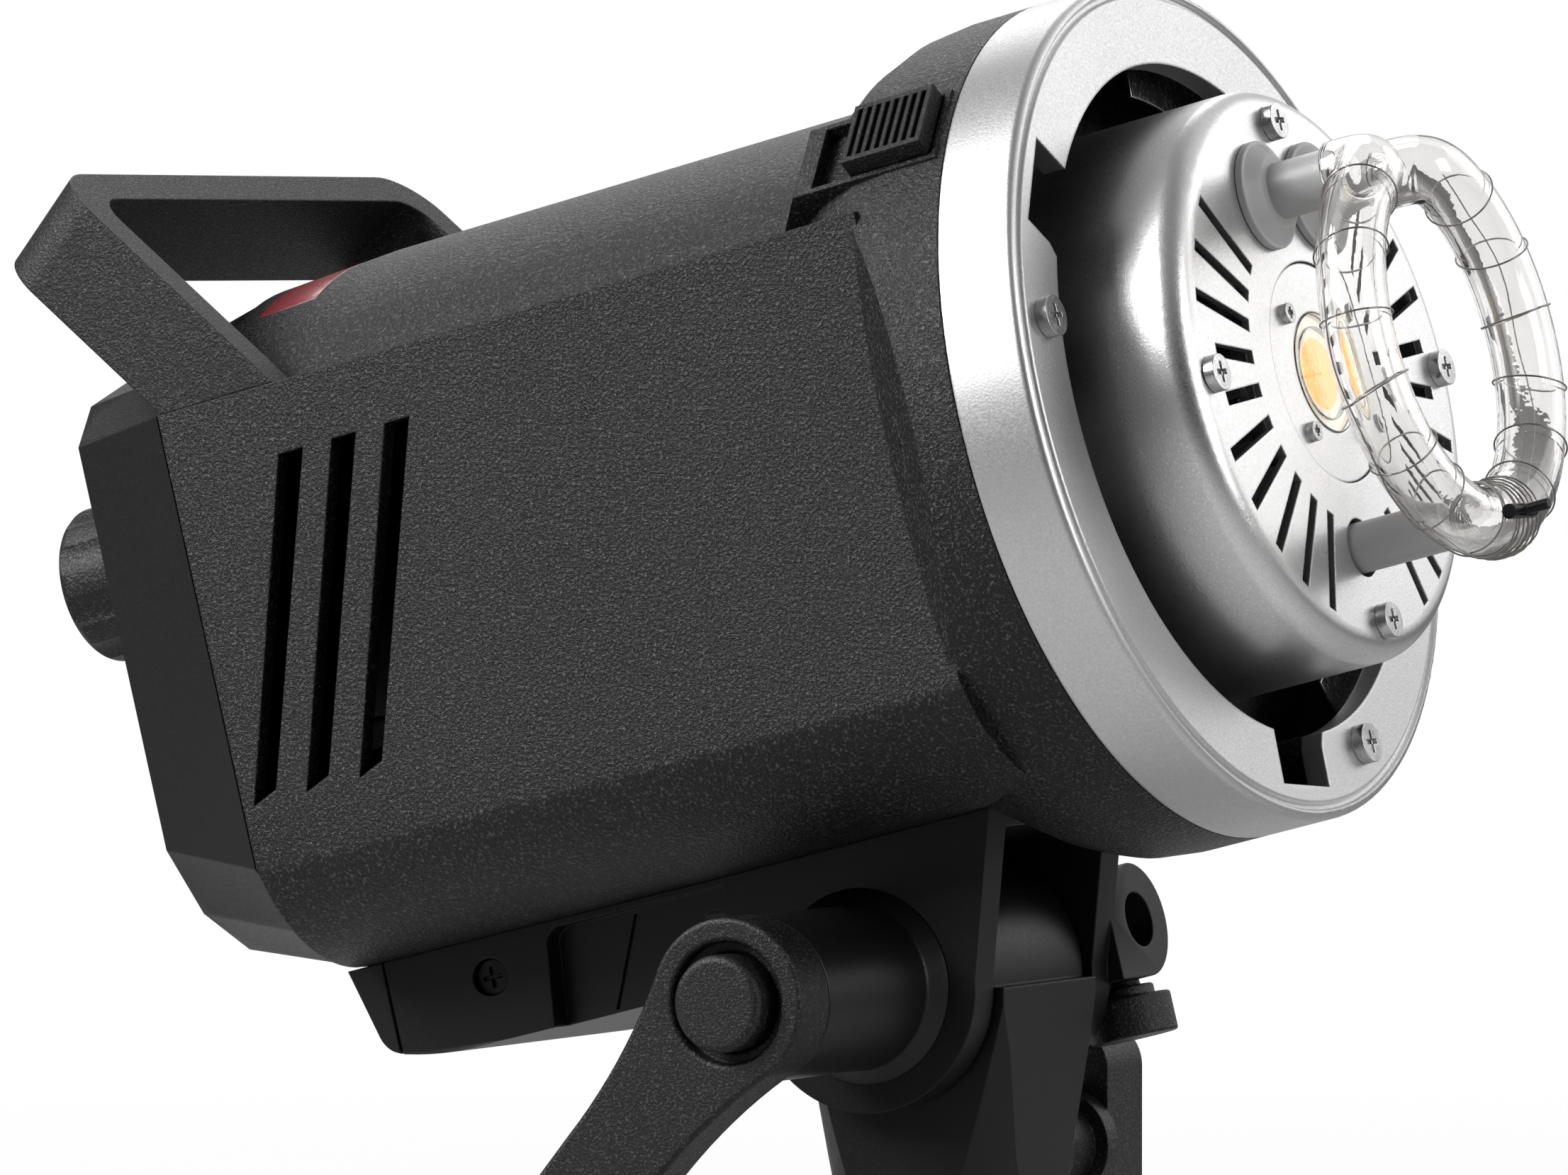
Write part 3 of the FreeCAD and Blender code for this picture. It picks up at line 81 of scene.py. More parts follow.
# ---- Node trees ----
class Tree:
    """Short calls for building a material's node tree."""

    def __init__(self, name):
        self.material = bpy.data.materials.new(name)
        self.material.use_nodes = True
        self.tree = self.material.node_tree
        self.tree.nodes.clear()
        self.out = self.add("ShaderNodeOutputMaterial")
        self.place = self.add("ShaderNodeTexCoord").outputs["Object"]

    def add(self, kind, **settings):
        made = self.tree.nodes.new(kind)
        for key, value in settings.items():
            setattr(made, key, value)
        return made

    def link(self, source, target):
        if isinstance(source, bpy.types.NodeSocket):
            self.tree.links.new(source, target)
        else:
            target.default_value = source

    def noise(self, size_mm, detail=2.0, rough=0.5, place=None):
        """Value noise whose features are about size_mm across, 0 to 1."""
        made = self.add("ShaderNodeTexNoise")
        self.link(place or self.place, made.inputs["Vector"])
        made.inputs["Scale"].default_value = 1 / (size_mm * MM)
        made.inputs["Detail"].default_value = detail
        made.inputs["Roughness"].default_value = rough
        return made.outputs["Fac"]

    def cells(self, size_mm):
        """Distance inside rounded cells about size_mm across."""
        made = self.add("ShaderNodeTexVoronoi", feature="SMOOTH_F1")
        self.link(self.place, made.inputs["Vector"])
        made.inputs["Scale"].default_value = 1 / (size_mm * MM)
        made.inputs["Smoothness"].default_value = 0.4
        return made.outputs["Distance"]

    def scaled(self, value, low, high, to_low, to_high):
        made = self.add("ShaderNodeMapRange")
        for socket, number in zip(made.inputs[1:5], (low, high, to_low, to_high)):
            socket.default_value = number
        self.link(value, made.inputs[0])
        return made.outputs[0]

    def math(self, operation, first, second):
        made = self.add("ShaderNodeMath", operation=operation)
        self.link(first, made.inputs[0])
        self.link(second, made.inputs[1])
        return made.outputs[0]

    def mixed(self, factor, first, second):
        made = self.add("ShaderNodeMix", data_type="RGBA")
        self.link(factor, made.inputs[0])
        self.link(first, made.inputs[6])
        self.link(second, made.inputs[7])
        return made.outputs[2]

    def soft_edges(self, radius_mm):
        """Shading normal with edges rounded to radius_mm."""
        made = self.add("ShaderNodeBevel", samples=4)
        made.inputs["Radius"].default_value = radius_mm * MM
        return made.outputs[0]

    def edge_mask(self, rounded, low, high):
        """1 along convex and concave edges, 0 on flat faces."""
        flat = self.add("ShaderNodeNewGeometry").outputs["Normal"]
        made = self.add("ShaderNodeVectorMath", operation="DOT_PRODUCT")
        self.link(rounded, made.inputs[0])
        self.link(flat, made.inputs[1])
        return self.scaled(made.outputs["Value"], high, low, 0, 1)

    def bump(self, height, depth_mm, normal=None):
        made = self.add("ShaderNodeBump")
        made.inputs["Distance"].default_value = depth_mm * MM
        self.link(height, made.inputs["Height"])
        if normal is not None:
            self.link(normal, made.inputs["Normal"])
        return made.outputs[0]

    def principled(self, **values):
        made = self.add("ShaderNodeBsdfPrincipled")
        for key, value in values.items():
            self.link(value, made.inputs[key.replace("_", " ")])
        self.link(made.outputs[0], self.out.inputs[0])


def grey(value, warm=0.0):
    return (value * (1 + warm), value, value * (1 - warm), 1)


def moulded_plastic(name, dark, light, grain_mm, depth_mm, rough, edge_mm, wear_and_painted_highlight, fleck_and_painted_glint):
    """Moulded plastic or ceramic: spark-eroded grain, faint dust, painted glints lightening the grain's
    peaks, and edges polished by handling whose lighter colour is partly a painted highlight.
    """
    t = Tree(name)
    rounded = t.soft_edges(edge_mm)
    grain = t.noise(grain_mm, 2.5, 0.62)
    fine = t.noise(grain_mm * 0.33, 1.0)
    height = t.math("ADD", grain, t.math("MULTIPLY", fine, 0.35))
    dust = t.noise(38, 4)
    shade = t.mixed(t.scaled(dust, 0.35, 0.7, 0, 0.55), grey(dark), grey(light))
    # Painted glints: the grain's peaks are lightened in the colour, standing in for sparkle of the light on
    # the grain.
    if fleck_and_painted_glint:
        painted_glints = t.scaled(grain, 0.55, 0.70, 0, fleck_and_painted_glint)
        shade = t.mixed(painted_glints, shade, grey(light * 13))
    # Lighter edges: partly rubbed wear, partly a painted highlight along the rounded edges; the same mask
    # also makes the edges glossier.
    edge = t.math("MULTIPLY", t.edge_mask(rounded, 0.9, 0.995), t.scaled(t.noise(3, 3), 0.3, 0.6, 0.2, 1))
    shade = t.mixed(t.math("MULTIPLY", edge, wear_and_painted_highlight * 4), shade, grey(light * 3.2))
    gloss = t.math("SUBTRACT", t.scaled(grain, 0.3, 0.7, rough + 0.07, rough - 0.07),
                   t.math("MULTIPLY", edge, wear_and_painted_highlight * 1.6))
    t.principled(Base_Color=shade, Roughness=gloss, Specular_IOR_Level=0.32,
                 Normal=t.bump(height, depth_mm, rounded))
    return t.material


def satin_metal(name, tone, rough, fleck_mm, depth_mm, edge_mm):
    """Bead-blasted or painted silver: fine sparkle, slightly uneven sheen, bright edges."""
    t = Tree(name)
    rounded = t.soft_edges(edge_mm)
    fleck_and_painted_glint = t.noise(fleck_mm, 1.5, 0.7)
    cloud = t.noise(24, 3)
    shade = t.mixed(t.scaled(cloud, 0.3, 0.7, 0, 1), grey(tone * 0.93), grey(tone))
    shade = t.mixed(t.scaled(fleck_and_painted_glint, 0.35, 0.7, 0, 0.5), shade, grey(tone * 1.25))
    edge = t.edge_mask(rounded, 0.85, 0.99)
    gloss = t.math("SUBTRACT", t.scaled(fleck_and_painted_glint, 0.3, 0.7, rough + 0.06, rough - 0.05),
                   t.math("MULTIPLY", edge, 0.08))
    t.principled(Base_Color=shade, Metallic=1.0, Roughness=gloss, Normal=t.bump(fleck_and_painted_glint, depth_mm, rounded))
    return t.material


def bright_steel(name, tone, rough, warm):
    """Turned or drawn metal with fine brushing and darker stains."""
    t = Tree(name)
    rounded = t.soft_edges(0.12)
    brushed = t.noise(0.6, 3)
    stain = t.noise(4, 2)
    shade = t.mixed(t.scaled(stain, 0.35, 0.7, 0, 1), grey(tone * 0.7, warm), grey(tone, warm))
    gloss = t.scaled(brushed, 0.3, 0.7, rough - 0.06, rough + 0.1)
    t.principled(Base_Color=shade, Metallic=1.0, Roughness=gloss, Normal=t.bump(brushed, 0.01, rounded))
    return t.material


def clear_material(name, tint, rough, index=1.47):
    """Glass or clear plastic whose shadow stays light, with faint streaks from drawing."""
    t = Tree(name)
    streak = t.noise(2.6, 2)
    made = t.add("ShaderNodeBsdfPrincipled")
    for key, value in {"Base Color": tint, "IOR": index, "Transmission Weight": 1.0,
                       "Roughness": t.scaled(streak, 0.3, 0.7, rough, rough + 0.02),
                       "Normal": t.bump(streak, 0.02)}.items():
        t.link(value, made.inputs[key])
    clear = t.add("ShaderNodeBsdfTransparent")
    clear.inputs[0].default_value = (0.93, 0.93, 0.93, 1)
    mix = t.add("ShaderNodeMixShader")
    t.link(t.add("ShaderNodeLightPath").outputs["Is Shadow Ray"], mix.inputs[0])
    t.link(made.outputs[0], mix.inputs[1])
    t.link(clear.outputs[0], mix.inputs[2])
    t.link(mix.outputs[0], t.out.inputs[0])
    return t.material


def phosphor_material():
    """Orange phosphor disc with a pale rim round it; the disc carries a faint painted glow."""
    t = Tree("phosphor")
    low, high = head_box("led_emitter")
    spread = t.add("ShaderNodeVectorMath", operation="DISTANCE")
    t.link(t.place, spread.inputs[0])
    spread.inputs[1].default_value = HEAD @ Vector((high.x, 0, 0))
    rim = t.scaled(spread.outputs["Value"], 5.2 * MM, 5.5 * MM, 0, 1)
    chips = t.cells(0.9)
    cloud = t.noise(6, 2)
    shade = t.mixed(t.scaled(cloud, 0.3, 0.7, 0, 1), (0.92, 0.36, 0.035, 1), (0.96, 0.44, 0.06, 1))
    shade = t.mixed(t.scaled(chips, 0.1, 0.5, 0, 0.25), shade, (0.88, 0.30, 0.02, 1))
    shade = t.mixed(rim, shade, (0.72, 0.66, 0.52, 1))
    # Painted glow: the unlit phosphor is given a faint emission, strongest on the disc and almost none on the
    # pale rim.
    t.principled(Base_Color=shade, Roughness=0.34, Emission_Color=shade,
                 Emission_Strength=t.scaled(rim, 0, 1, 0.35, 0.02),
                 Normal=t.bump(chips, 0.03))
    return t.material


def tinted_window(name, tint, rough):
    """Cloudy tinted plastic with a clear coat."""
    t = Tree(name)
    cloud = t.noise(9, 2)
    shade = t.mixed(t.scaled(cloud, 0.3, 0.7, 0, 1), tint, tuple(c * 0.75 for c in tint[:3]) + (1,))
    t.principled(Base_Color=shade, Roughness=t.scaled(cloud, 0.3, 0.7, rough, rough + 0.08), Coat_Weight=0.6,
                 Coat_Roughness=0.08, Subsurface_Weight=0.35, Subsurface_Radius=(0.004, 0.001, 0.001),
                 Normal=t.bump(t.noise(0.5, 2), 0.01, t.soft_edges(0.3)))
    return t.material


def patterned(name, first, second, size_mm, rough, metallic):
    """Two colours in soft cells about size_mm across."""
    t = Tree(name)
    cells = t.cells(size_mm)
    shade = t.mixed(t.scaled(cells, 0.15, 0.55, 0, 1), first, second)
    gloss = t.scaled(cells, 0.1, 0.6, rough, rough + 0.15)
    t.principled(Base_Color=shade, Metallic=metallic, Roughness=gloss,
                 Normal=t.bump(cells, 0.03, t.soft_edges(0.2)))
    return t.material


PLASTICS = {
    # name: darkest tone, lightest tone, grain in mm, grain depth in mm, roughness, edge in mm, edge wear and
    # painted edge highlight, painted glints on the grain
    "housing_plastic": (0.004, 0.007, 0.50, 0.30, 0.38, 0.45, 0.04, 1.0),
    "cover_plastic": (0.006, 0.009, 0.40, 0.03, 0.42, 0.4, 0.04, 0.0),
    "grip_plastic": (0.004, 0.007, 0.42, 0.16, 0.40, 0.4, 0.04, 0.6),
    "smooth_plastic": (0.0035, 0.006, 0.30, 0.015, 0.42, 0.4, 0.035, 0.0),
    "ceramic_grey": (0.36, 0.44, 0.5, 0.02, 0.35, 0.3, 0.02, 0.0),
    "washer_nylon": (0.45, 0.55, 0.6, 0.02, 0.45, 0.2, 0.02, 0.0),
}
SATIN_METALS = {
    # name: tone, roughness, fleck in mm, fleck depth in mm, edge in mm
    "satin_silver": (0.60, 0.38, 0.38, 0.022, 0.5),
    "drum_silver": (0.74, 0.32, 0.34, 0.022, 0.35),
    "aluminium": (0.55, 0.35, 0.5, 0.02, 0.3),
}
BRIGHT_METALS = {
    # name: tone, roughness, warmth
    "steel": (0.62, 0.22, 0.0),
    "brass": (0.6, 0.25, 0.35),
    "dark_wire": (0.30, 0.35, 0.05),
    "black_steel": (0.03, 0.40, 0.0),
}
PATTERNS = {
    # name: two colours, cell in mm, roughness, metallic
    "display_dark": ((0.006, 0.007, 0.009, 1), (0.012, 0.013, 0.016, 1), 1.2, 0.12, 0.0),
    "circuit_board": ((0.01, 0.09, 0.035, 1), (0.015, 0.14, 0.05, 1), 1.6, 0.4, 0.0),
    "copper_winding": ((0.62, 0.25, 0.1, 1), (0.75, 0.34, 0.16, 1), 0.8, 0.35, 1.0),
}
LOOKS = {
    "clear_glass": clear_material("clear_glass", (0.985, 0.975, 0.965, 1), 0.0),
    "clear_plastic": clear_material("clear_plastic", (0.97, 0.98, 0.99, 1), 0.03, 1.45),
    "phosphor": phosphor_material(),
    "sensor_tint": tinted_window("sensor_tint", (0.30, 0.045, 0.055, 1), 0.22),
}
for make, table in ((moulded_plastic, PLASTICS), (satin_metal, SATIN_METALS), (bright_steel, BRIGHT_METALS),
                    (patterned, PATTERNS)):
    for look, values in table.items():
        LOOKS[look] = make(look, *values)
SMOOTHER = {"keel_housing": "smooth_plastic", "keel_cap": "smooth_plastic", "stand_adapter": "smooth_plastic",
            "lever_spacer": "smooth_plastic", "lamp_drum": "drum_silver", "led_plate": "drum_silver",
            "tube_clip": "black_steel", "keel_screws": "black_steel"}
for name, node in nodes.items():
    slot = node.data.materials[0].name
    node.data.materials[0] = LOOKS[SMOOTHER.get(name, slot)]


# ---- Finish of the carried-over CAD pieces: merged facets, rounded edges, smooth shading ----
def geometry_tree(name):
    tree = bpy.data.node_groups.new(name, "GeometryNodeTree")
    tree.is_modifier = True
    tree.interface.new_socket("Geometry", in_out="INPUT", socket_type="NodeSocketGeometry")
    tree.interface.new_socket("Geometry", in_out="OUTPUT", socket_type="NodeSocketGeometry")
    return tree, tree.nodes.new("NodeGroupInput"), tree.nodes.new("NodeGroupOutput")


def merge_group(distance_mm):
    tree, first, last = geometry_tree("merge_corners")
    plain = tree.nodes.new("GeometryNodeRemoveAttribute")
    plain.inputs["Name"].default_value = "custom_normal"
    merge = tree.nodes.new("GeometryNodeMergeByDistance")
    merge.inputs["Distance"].default_value = distance_mm * MM
    tree.links.new(first.outputs[0], plain.inputs[0])
    tree.links.new(plain.outputs[0], merge.inputs[0])
    tree.links.new(merge.outputs[0], last.inputs[0])
    return tree


def smooth_group(limit_deg):
    tree, first, last = geometry_tree("smooth_by_angle")
    angle = tree.nodes.new("GeometryNodeInputMeshEdgeAngle")
    small = tree.nodes.new("FunctionNodeCompare")
    small.operation = "LESS_THAN"
    small.inputs[1].default_value = math.radians(limit_deg)
    edges = tree.nodes.new("GeometryNodeSetShadeSmooth")
    edges.domain = "EDGE"
    faces = tree.nodes.new("GeometryNodeSetShadeSmooth")
    faces.domain = "FACE"
    tree.links.new(angle.outputs["Unsigned Angle"], small.inputs[0])
    tree.links.new(first.outputs[0], edges.inputs["Geometry"])
    tree.links.new(small.outputs[0], edges.inputs["Shade Smooth"])
    tree.links.new(edges.outputs[0], faces.inputs["Geometry"])
    tree.links.new(faces.outputs[0], last.inputs[0])
    return tree


def outer_edges_group(limit_deg):
    """Marks the edges that stand out, so the bevel leaves the inner corners of holes as they are."""
    tree, first, last = geometry_tree("outer_edges")
    angle = tree.nodes.new("GeometryNodeInputMeshEdgeAngle")
    sharp = tree.nodes.new("FunctionNodeCompare")
    sharp.operation = "GREATER_THAN"
    sharp.inputs[1].default_value = math.radians(limit_deg)
    mark = tree.nodes.new("GeometryNodeStoreNamedAttribute")
    mark.domain = "EDGE"
    mark.inputs["Name"].default_value = OUTER_EDGES
    tree.links.new(angle.outputs["Signed Angle"], sharp.inputs[0])
    tree.links.new(first.outputs[0], mark.inputs["Geometry"])
    tree.links.new(sharp.outputs[0], mark.inputs["Value"])
    tree.links.new(mark.outputs[0], last.inputs[0])
    return tree


OUTER_EDGES = "outer_edges"
SHARP_DEG, SMOOTH_DEG, FLAT_DEG = 35, 32, 0.4
MARK = outer_edges_group(SHARP_DEG)
MERGE = merge_group(0.002)
SMOOTH = smooth_group(SMOOTH_DEG)
SMALL_BEVEL_MM = 0.12
BEVEL_MM = {"main_housing": 0.45, "rear_cover": 0.5, "carry_handle": 0.6, "keel_housing": 0.6,
            "tilt_lever": 0.8, "stand_adapter": 0.8, "keel_cap": 0.4, "bayonet_ring": 0.4, "stand_knob": 0.4,
            "umbrella_knob": 0.4, "lever_spacer": 0.4, "tube_posts": 0.3, "power_inlet": 0.3}
AS_PACKED = ("flash_tube", "trigger_wire")
MANY_HOLES = ("lamp_drum", "release_slider", "control_panel", "led_plate", "led_heat_sink", "fan_frame")


def finish_edges(node):
    def modifier(kind, label, **settings):
        made = node.modifiers.new(label, kind)
        for key, value in settings.items():
            setattr(made, key, value)

    modifier("NODES", "merge", node_group=MERGE)
    if node.name not in MANY_HOLES:
        modifier("DECIMATE", "planes", decimate_type="DISSOLVE", angle_limit=math.radians(FLAT_DEG))
        limit = {"limit_method": "ANGLE", "angle_limit": math.radians(SHARP_DEG)}
        if node.name == "tilt_lever":
            modifier("NODES", "mark", node_group=MARK)
            limit = {"limit_method": "WEIGHT", "edge_weight": OUTER_EDGES}
        modifier("BEVEL", "edges", width=BEVEL_MM.get(node.name, SMALL_BEVEL_MM) * MM, segments=3,
                 use_clamp_overlap=True, miter_outer="MITER_ARC", **limit)
    modifier("NODES", "shading", node_group=SMOOTH)
    modifier("WEIGHTED_NORMAL", "flat_faces", keep_sharp=True, weight=100)


for name, node in nodes.items():
    if name not in AS_PACKED:
        finish_edges(node)


# ---- Pieces built as meshes ----
def head_piece(name, points, faces, look, stands_for):
    """A piece of the head in place of a CAD node, from points in the head frame."""
    mesh = bpy.data.meshes.new(name)
    mesh.from_pydata([tuple(HEAD @ p) for p in points], [], faces)
    mesh.validate()
    mesh.shade_smooth()
    mesh.materials.append(LOOKS[look])
    made = bpy.data.objects.new(name, mesh)
    bpy.context.scene.collection.objects.link(made)
    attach(made, HEAD_BODY)
    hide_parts(stands_for)


def sweep(path, radius, sides, start=0):
    """Points and faces of an open round tube along path; its first point has the index start."""
    last = len(path) - 1
    tangents = [(path[min(i + 1, last)] - path[max(i - 1, 0)]).normalized() for i in range(last + 1)]
    side = tangents[0].orthogonal().normalized()
    points, faces = [], []
    for i, (centre, tangent) in enumerate(zip(path, tangents)):
        side = (side - tangent * side.dot(tangent)).normalized()
        other = tangent.cross(side)
        for k in range(sides):
            turn = math.tau * k / sides
            points.append(centre + (side * math.cos(turn) + other * math.sin(turn)) * radius)
    for i in range(last):
        row = start + i * sides
        for k in range(sides):
            n = (k + 1) % sides
            faces.append((row + k, row + n, row + sides + n, row + sides + k))
    return points, faces


# Flash tube: a glass ring, open at the top, whose ends turn back into the upper posts.
TUBE_R, TUBE_BORE = 5.0, 3.8
WIRE_R = 0.14
WIRE_SIDES, TUBE_SIDES = 8, 56
tube_low, tube_high = head_box("flash_tube")
RING_R = tube_high.y - TUBE_R
RING_X = tube_high.x - TUBE_R
electrode_low, electrode_high = head_box("tube_electrodes")
ELECTRODE_R = 2.3
POST_Y = electrode_high.y - ELECTRODE_R
POST_Z = (electrode_low.z + electrode_high.z) / 2
BEND = 6.2
RING_END = math.atan2(POST_Z, POST_Y) - BEND * 1.35 / RING_R


def on_ring(angle, out=0.0, ahead=0.0):
    reach = RING_R + out
    return Vector((RING_X + ahead, reach * math.cos(angle), reach * math.sin(angle)))


def around_tube(angle, radius, turn):
    """A point beside the ring's centre line: turn 0 is on its outer side, a quarter turn is ahead."""
    return on_ring(angle, radius * math.cos(turn), radius * math.sin(turn))


def tube_path():
    """Centre line: out of a post, round a bend, along the ring and back into the other post."""
    straight_steps, bend_steps, ring_steps = 3, 24, 90
    knee = Vector((RING_X - BEND, POST_Y, POST_Z))
    edge = on_ring(RING_END)
    leave = Vector((0, math.sin(RING_END), -math.cos(RING_END)))
    pull = BEND * 0.95
    half = [Vector((tube_low.x + (knee.x - tube_low.x) * k / straight_steps, POST_Y, POST_Z))
            for k in range(straight_steps)]
    for k in range(bend_steps + 1):
        s = k / bend_steps
        half.append(knee * (1 - s) ** 3 + (knee + Vector((pull, 0, 0))) * 3 * s * (1 - s) ** 2
                    + (edge - leave * pull) * 3 * s * s * (1 - s) + edge * s ** 3)
    swing = RING_END + math.pi / 2
    half += [on_ring(RING_END - swing * k / ring_steps) for k in range(1, ring_steps + 1)]
    return half + [Vector((p.x, -p.y, p.z)) for p in reversed(half[:-1])]


def flash_tube():
    path = tube_path()
    points, faces = sweep(path, TUBE_R, TUBE_SIDES)
    inner, skin = sweep(path, TUBE_BORE, TUBE_SIDES)
    shift = len(points)
    faces += [tuple(shift + i for i in reversed(face)) for face in skin]
    last = shift - TUBE_SIDES
    for k in range(TUBE_SIDES):
        n = (k + 1) % TUBE_SIDES
        faces.append((k, shift + k, shift + n, n))
        faces.append((last + k, last + n, shift + last + n, shift + last + k))
    head_piece("glass_ring", points + inner, faces, "clear_glass", "flash_tube")


def wire_paths():
    """Loops round the glass, a bare wire along its outer side, and the twisted ends at the bottom."""
    rng = random.Random(7)
    hug = TUBE_R + 2 * WIRE_R
    paths = []
    loop_steps, spine_steps, coil_steps = 40, 180, 60
    for angle_deg in (52, 29, 7, -15, -37, -58, -122, -143, -165, -187, -209, -232):
        angle, lean = math.radians(angle_deg), rng.uniform(-0.05, 0.05)
        turns = [math.tau * k / loop_steps for k in range(loop_steps + 1)]
        paths.append([around_tube(angle + lean * math.sin(turn), hug, turn) for turn in turns])
    for strand in range(5):
        coils = 1.15 + 0.4 * strand
        middle = math.radians(-97 + 4.5 * strand)
        reach = math.radians(rng.uniform(9, 15))
        coil = []
        for k in range(coil_steps + 1):
            share = k / coil_steps
            out = hug + 0.1 * strand + 0.2 * math.sin(7 * share + strand)
            coil.append(around_tube(middle + reach * (share - 0.5), out,
                                    math.tau * coils * share + 1.3 * strand))
        paths.append(coil)
    first_deg, swing_deg = 54, 288
    spine = []
    for k in range(spine_steps + 1):
        turn = -0.5 - 0.10 * math.sin(k * 0.23)
        spine.append(around_tube(math.radians(first_deg - swing_deg * k / spine_steps), hug, turn))
    return paths + [spine]


def trigger_wire():
    """All the wires as one piece, each with closed ends."""
    points, faces = [], []
    for path in wire_paths():
        start = len(points)
        more, skin = sweep(path, WIRE_R, WIRE_SIDES, start)
        points += more
        end = len(points) - WIRE_SIDES
        faces += skin
        faces.append(tuple(start + k for k in reversed(range(WIRE_SIDES))))
        faces.append(tuple(end + k for k in range(WIRE_SIDES)))
    head_piece("trigger_wire_loops", points, faces, "dark_wire", "trigger_wire")


flash_tube()
trigger_wire()


# ---- Studio: pale floor, white surroundings, soft boxes ----
FLOOR_R = 6.0
FLOOR_RINGS, FLOOR_SIDES = 24, 96


def floor_look(middle):
    """Pale paper near the middle that fades into white; nothing is seen of it from below."""
    t = Tree("studio_floor")
    away = t.add("ShaderNodeVectorMath", operation="DISTANCE")
    t.link(t.place, away.inputs[0])
    away.inputs[1].default_value = middle
    fade = t.scaled(away.outputs["Value"], 0.15, 0.9, 0.5, 1)
    paper = t.add("ShaderNodeBsdfDiffuse")
    t.link(t.mixed(t.noise(60, 3), grey(0.86), grey(0.9)), paper.inputs[0])
    glow = t.add("ShaderNodeEmission")
    seen = t.add("ShaderNodeLightPath").outputs["Is Camera Ray"]
    t.link(t.scaled(seen, 0, 1, 0.12, 1), glow.inputs[1])
    glow.inputs[0].default_value = grey(1.0)
    lit = t.add("ShaderNodeMixShader")
    t.link(fade, lit.inputs[0])
    t.link(paper.outputs[0], lit.inputs[1])
    t.link(glow.outputs[0], lit.inputs[2])
    clear = t.add("ShaderNodeBsdfTransparent")
    sided = t.add("ShaderNodeMixShader")
    t.link(t.add("ShaderNodeNewGeometry").outputs["Backfacing"], sided.inputs[0])
    t.link(lit.outputs[0], sided.inputs[1])
    t.link(clear.outputs[0], sided.inputs[2])
    t.link(sided.outputs[0], t.out.inputs[0])
    return t.material


def studio_floor():
    """A round floor one millimetre below the object."""
    low, high = cad_box
    middle = Vector(((low.x + high.x) / 2, (low.y + high.y) / 2, low.z - MM))
    points = [middle]
    for ring in range(1, FLOOR_RINGS + 1):
        reach = FLOOR_R * (ring / FLOOR_RINGS) ** 2
        for k in range(FLOOR_SIDES):
            turn = math.tau * k / FLOOR_SIDES
            points.append(middle + Vector((math.cos(turn), math.sin(turn), 0)) * reach)
    faces = [(0, 1 + k, 1 + (k + 1) % FLOOR_SIDES) for k in range(FLOOR_SIDES)]
    for ring in range(FLOOR_RINGS - 1):
        a = 1 + ring * FLOOR_SIDES
        for k in range(FLOOR_SIDES):
            n = (k + 1) % FLOOR_SIDES
            faces.append((a + k, a + FLOOR_SIDES + k, a + FLOOR_SIDES + n, a + n))
    mesh = bpy.data.meshes.new("studio_floor")
    mesh.from_pydata([tuple(p) for p in points], [], faces)
    floor = bpy.data.objects.new("studio_floor", mesh)
    bpy.context.scene.collection.objects.link(floor)
    mesh.materials.append(floor_look(middle))


ROOM_LIGHT = 0.035
WHITE_IN_GLASS = 0.8


def surroundings():
    """White to the camera; to the object, a dim room with a bright wall behind and a soft glow above."""
    world = bpy.data.worlds.new("studio")
    bpy.context.scene.world = world
    world.use_nodes = True
    tree = world.node_tree
    tree.nodes.clear()

    def add(kind, **settings):
        made = tree.nodes.new(kind)
        for key, value in settings.items():
            setattr(made, key, value)
        return made

    def lobe(toward, low, high, gain):
        dot = add("ShaderNodeVectorMath", operation="DOT_PRODUCT")
        tree.links.new(coords.outputs["Generated"], dot.inputs[0])
        dot.inputs[1].default_value = Vector(toward).normalized()
        spread = add("ShaderNodeMapRange", interpolation_type="SMOOTHERSTEP")
        for socket, number in zip(spread.inputs[1:5], (low, high, 0, gain)):
            socket.default_value = number
        tree.links.new(dot.outputs["Value"], spread.inputs[0])
        return spread.outputs[0]

    def sum_of(first, second):
        both = add("ShaderNodeMath", operation="ADD")
        tree.links.new(first, both.inputs[0])
        tree.links.new(second, both.inputs[1])
        return both.outputs[0]

    coords = add("ShaderNodeTexCoord")
    wall = lobe((0.35, 1, 0.15), 0.1, 0.8, 0.55)
    ceiling = lobe((-0.2, -0.1, 1), 0.1, 0.95, 0.2)
    corner = lobe((-1, -0.8, 0.3), 0.3, 0.95, 0.22)
    glow = sum_of(sum_of(wall, ceiling), corner)
    base = add("ShaderNodeMath", operation="ADD")
    base.inputs[1].default_value = ROOM_LIGHT
    tree.links.new(glow, base.inputs[0])
    room = add("ShaderNodeBackground")
    room.inputs[0].default_value = grey(1.0)
    tree.links.new(base.outputs[0], room.inputs[1])
    white = add("ShaderNodeBackground")
    white.inputs[0].default_value = grey(1.0)
    mix = add("ShaderNodeMixShader")
    path = add("ShaderNodeLightPath")
    through = add("ShaderNodeMath", operation="MULTIPLY")
    through.inputs[1].default_value = WHITE_IN_GLASS
    tree.links.new(path.outputs["Is Transmission Ray"], through.inputs[0])
    seen = add("ShaderNodeMath", operation="MAXIMUM")
    tree.links.new(path.outputs["Is Camera Ray"], seen.inputs[0])
    tree.links.new(through.outputs[0], seen.inputs[1])
    tree.links.new(seen.outputs[0], mix.inputs[0])
    tree.links.new(room.outputs[0], mix.inputs[1])
    tree.links.new(white.outputs[0], mix.inputs[2])
    out = add("ShaderNodeOutputWorld")
    tree.links.new(mix.outputs[0], out.inputs[0])


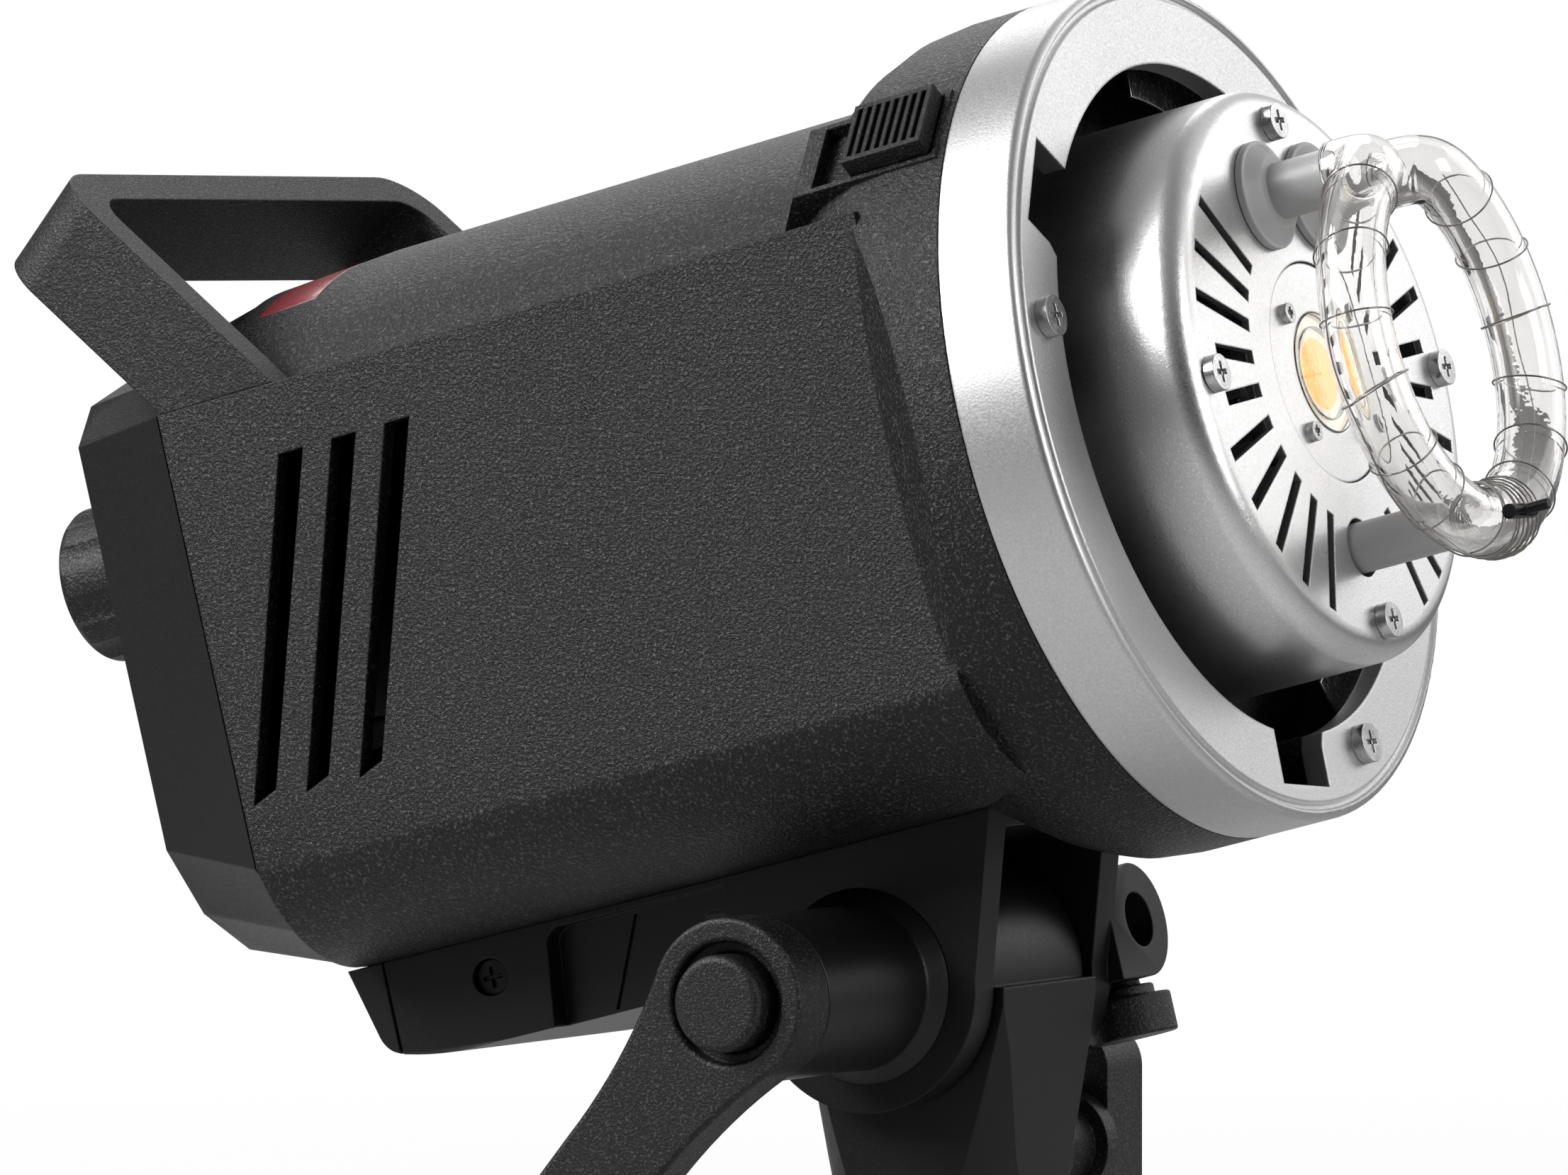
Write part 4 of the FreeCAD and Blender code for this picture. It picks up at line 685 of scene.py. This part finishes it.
def direction(azimuth, elevation):
    a, e = math.radians(azimuth), math.radians(elevation)
    return Vector((math.sin(a) * math.cos(e), -math.cos(a) * math.cos(e), math.sin(e)))


def softbox(name, azimuth, elevation, distance, wide, tall, power, target):
    data = bpy.data.lights.new(name, "AREA")
    data.shape = "RECTANGLE"
    data.size, data.size_y = wide, tall
    data.energy = power
    lamp = bpy.data.objects.new(name, data)
    back = direction(azimuth, elevation)
    lamp.location = target + back * distance
    lamp.rotation_mode = "QUATERNION"
    lamp.rotation_quaternion = (-back).to_track_quat("-Z", "Y")
    bpy.context.scene.collection.objects.link(lamp)


def camera():
    """Slightly above level, turned from the side toward the nose, framed close to the head."""
    azimuth, elevation, distance, lens = 28.7, 1.76, 1.6, 254.1
    aside, down = -64.9 * MM, -27.4 * MM
    back = direction(azimuth, elevation)
    right = Vector((math.cos(math.radians(azimuth)), math.sin(math.radians(azimuth)), 0))
    up = back.cross(right)
    data = bpy.data.cameras.new("camera")
    data.lens, data.sensor_width = lens, 36.0
    data.clip_start, data.clip_end = 0.01, 50
    made = bpy.data.objects.new("camera", data)
    made.location = HEAD_ORIGIN + right * aside + up * down + back * distance
    made.rotation_mode = "QUATERNION"
    made.rotation_quaternion = (-back).to_track_quat("-Z", "Y")
    bpy.context.scene.collection.objects.link(made)
    bpy.context.scene.camera = made


studio_floor()
surroundings()
aim = (cad_box[0] + cad_box[1]) / 2
housing_back = HEAD_ORIGIN - HEAD_X * (150 * MM)
# azimuth and elevation in degrees, distance, width and height in metres, power in watts, target
softbox("key", -58, 38, 1.3, 0.5, 0.4, 10, aim)
softbox("side_sheen", -32, 32, 0.80, 0.35, 0.35, 5.5, housing_back)
softbox("front_fill", 88, 20, 1.5, 0.5, 0.9, 9, aim)
softbox("face_glow", 150, 28, 1.4, 1.0, 0.8, 3.0, aim)
softbox("rear_rim", 215, 35, 1.4, 0.6, 0.6, 2, aim)
camera()
view = bpy.context.scene.view_settings
view.view_transform = "Standard"
view.look = "None"
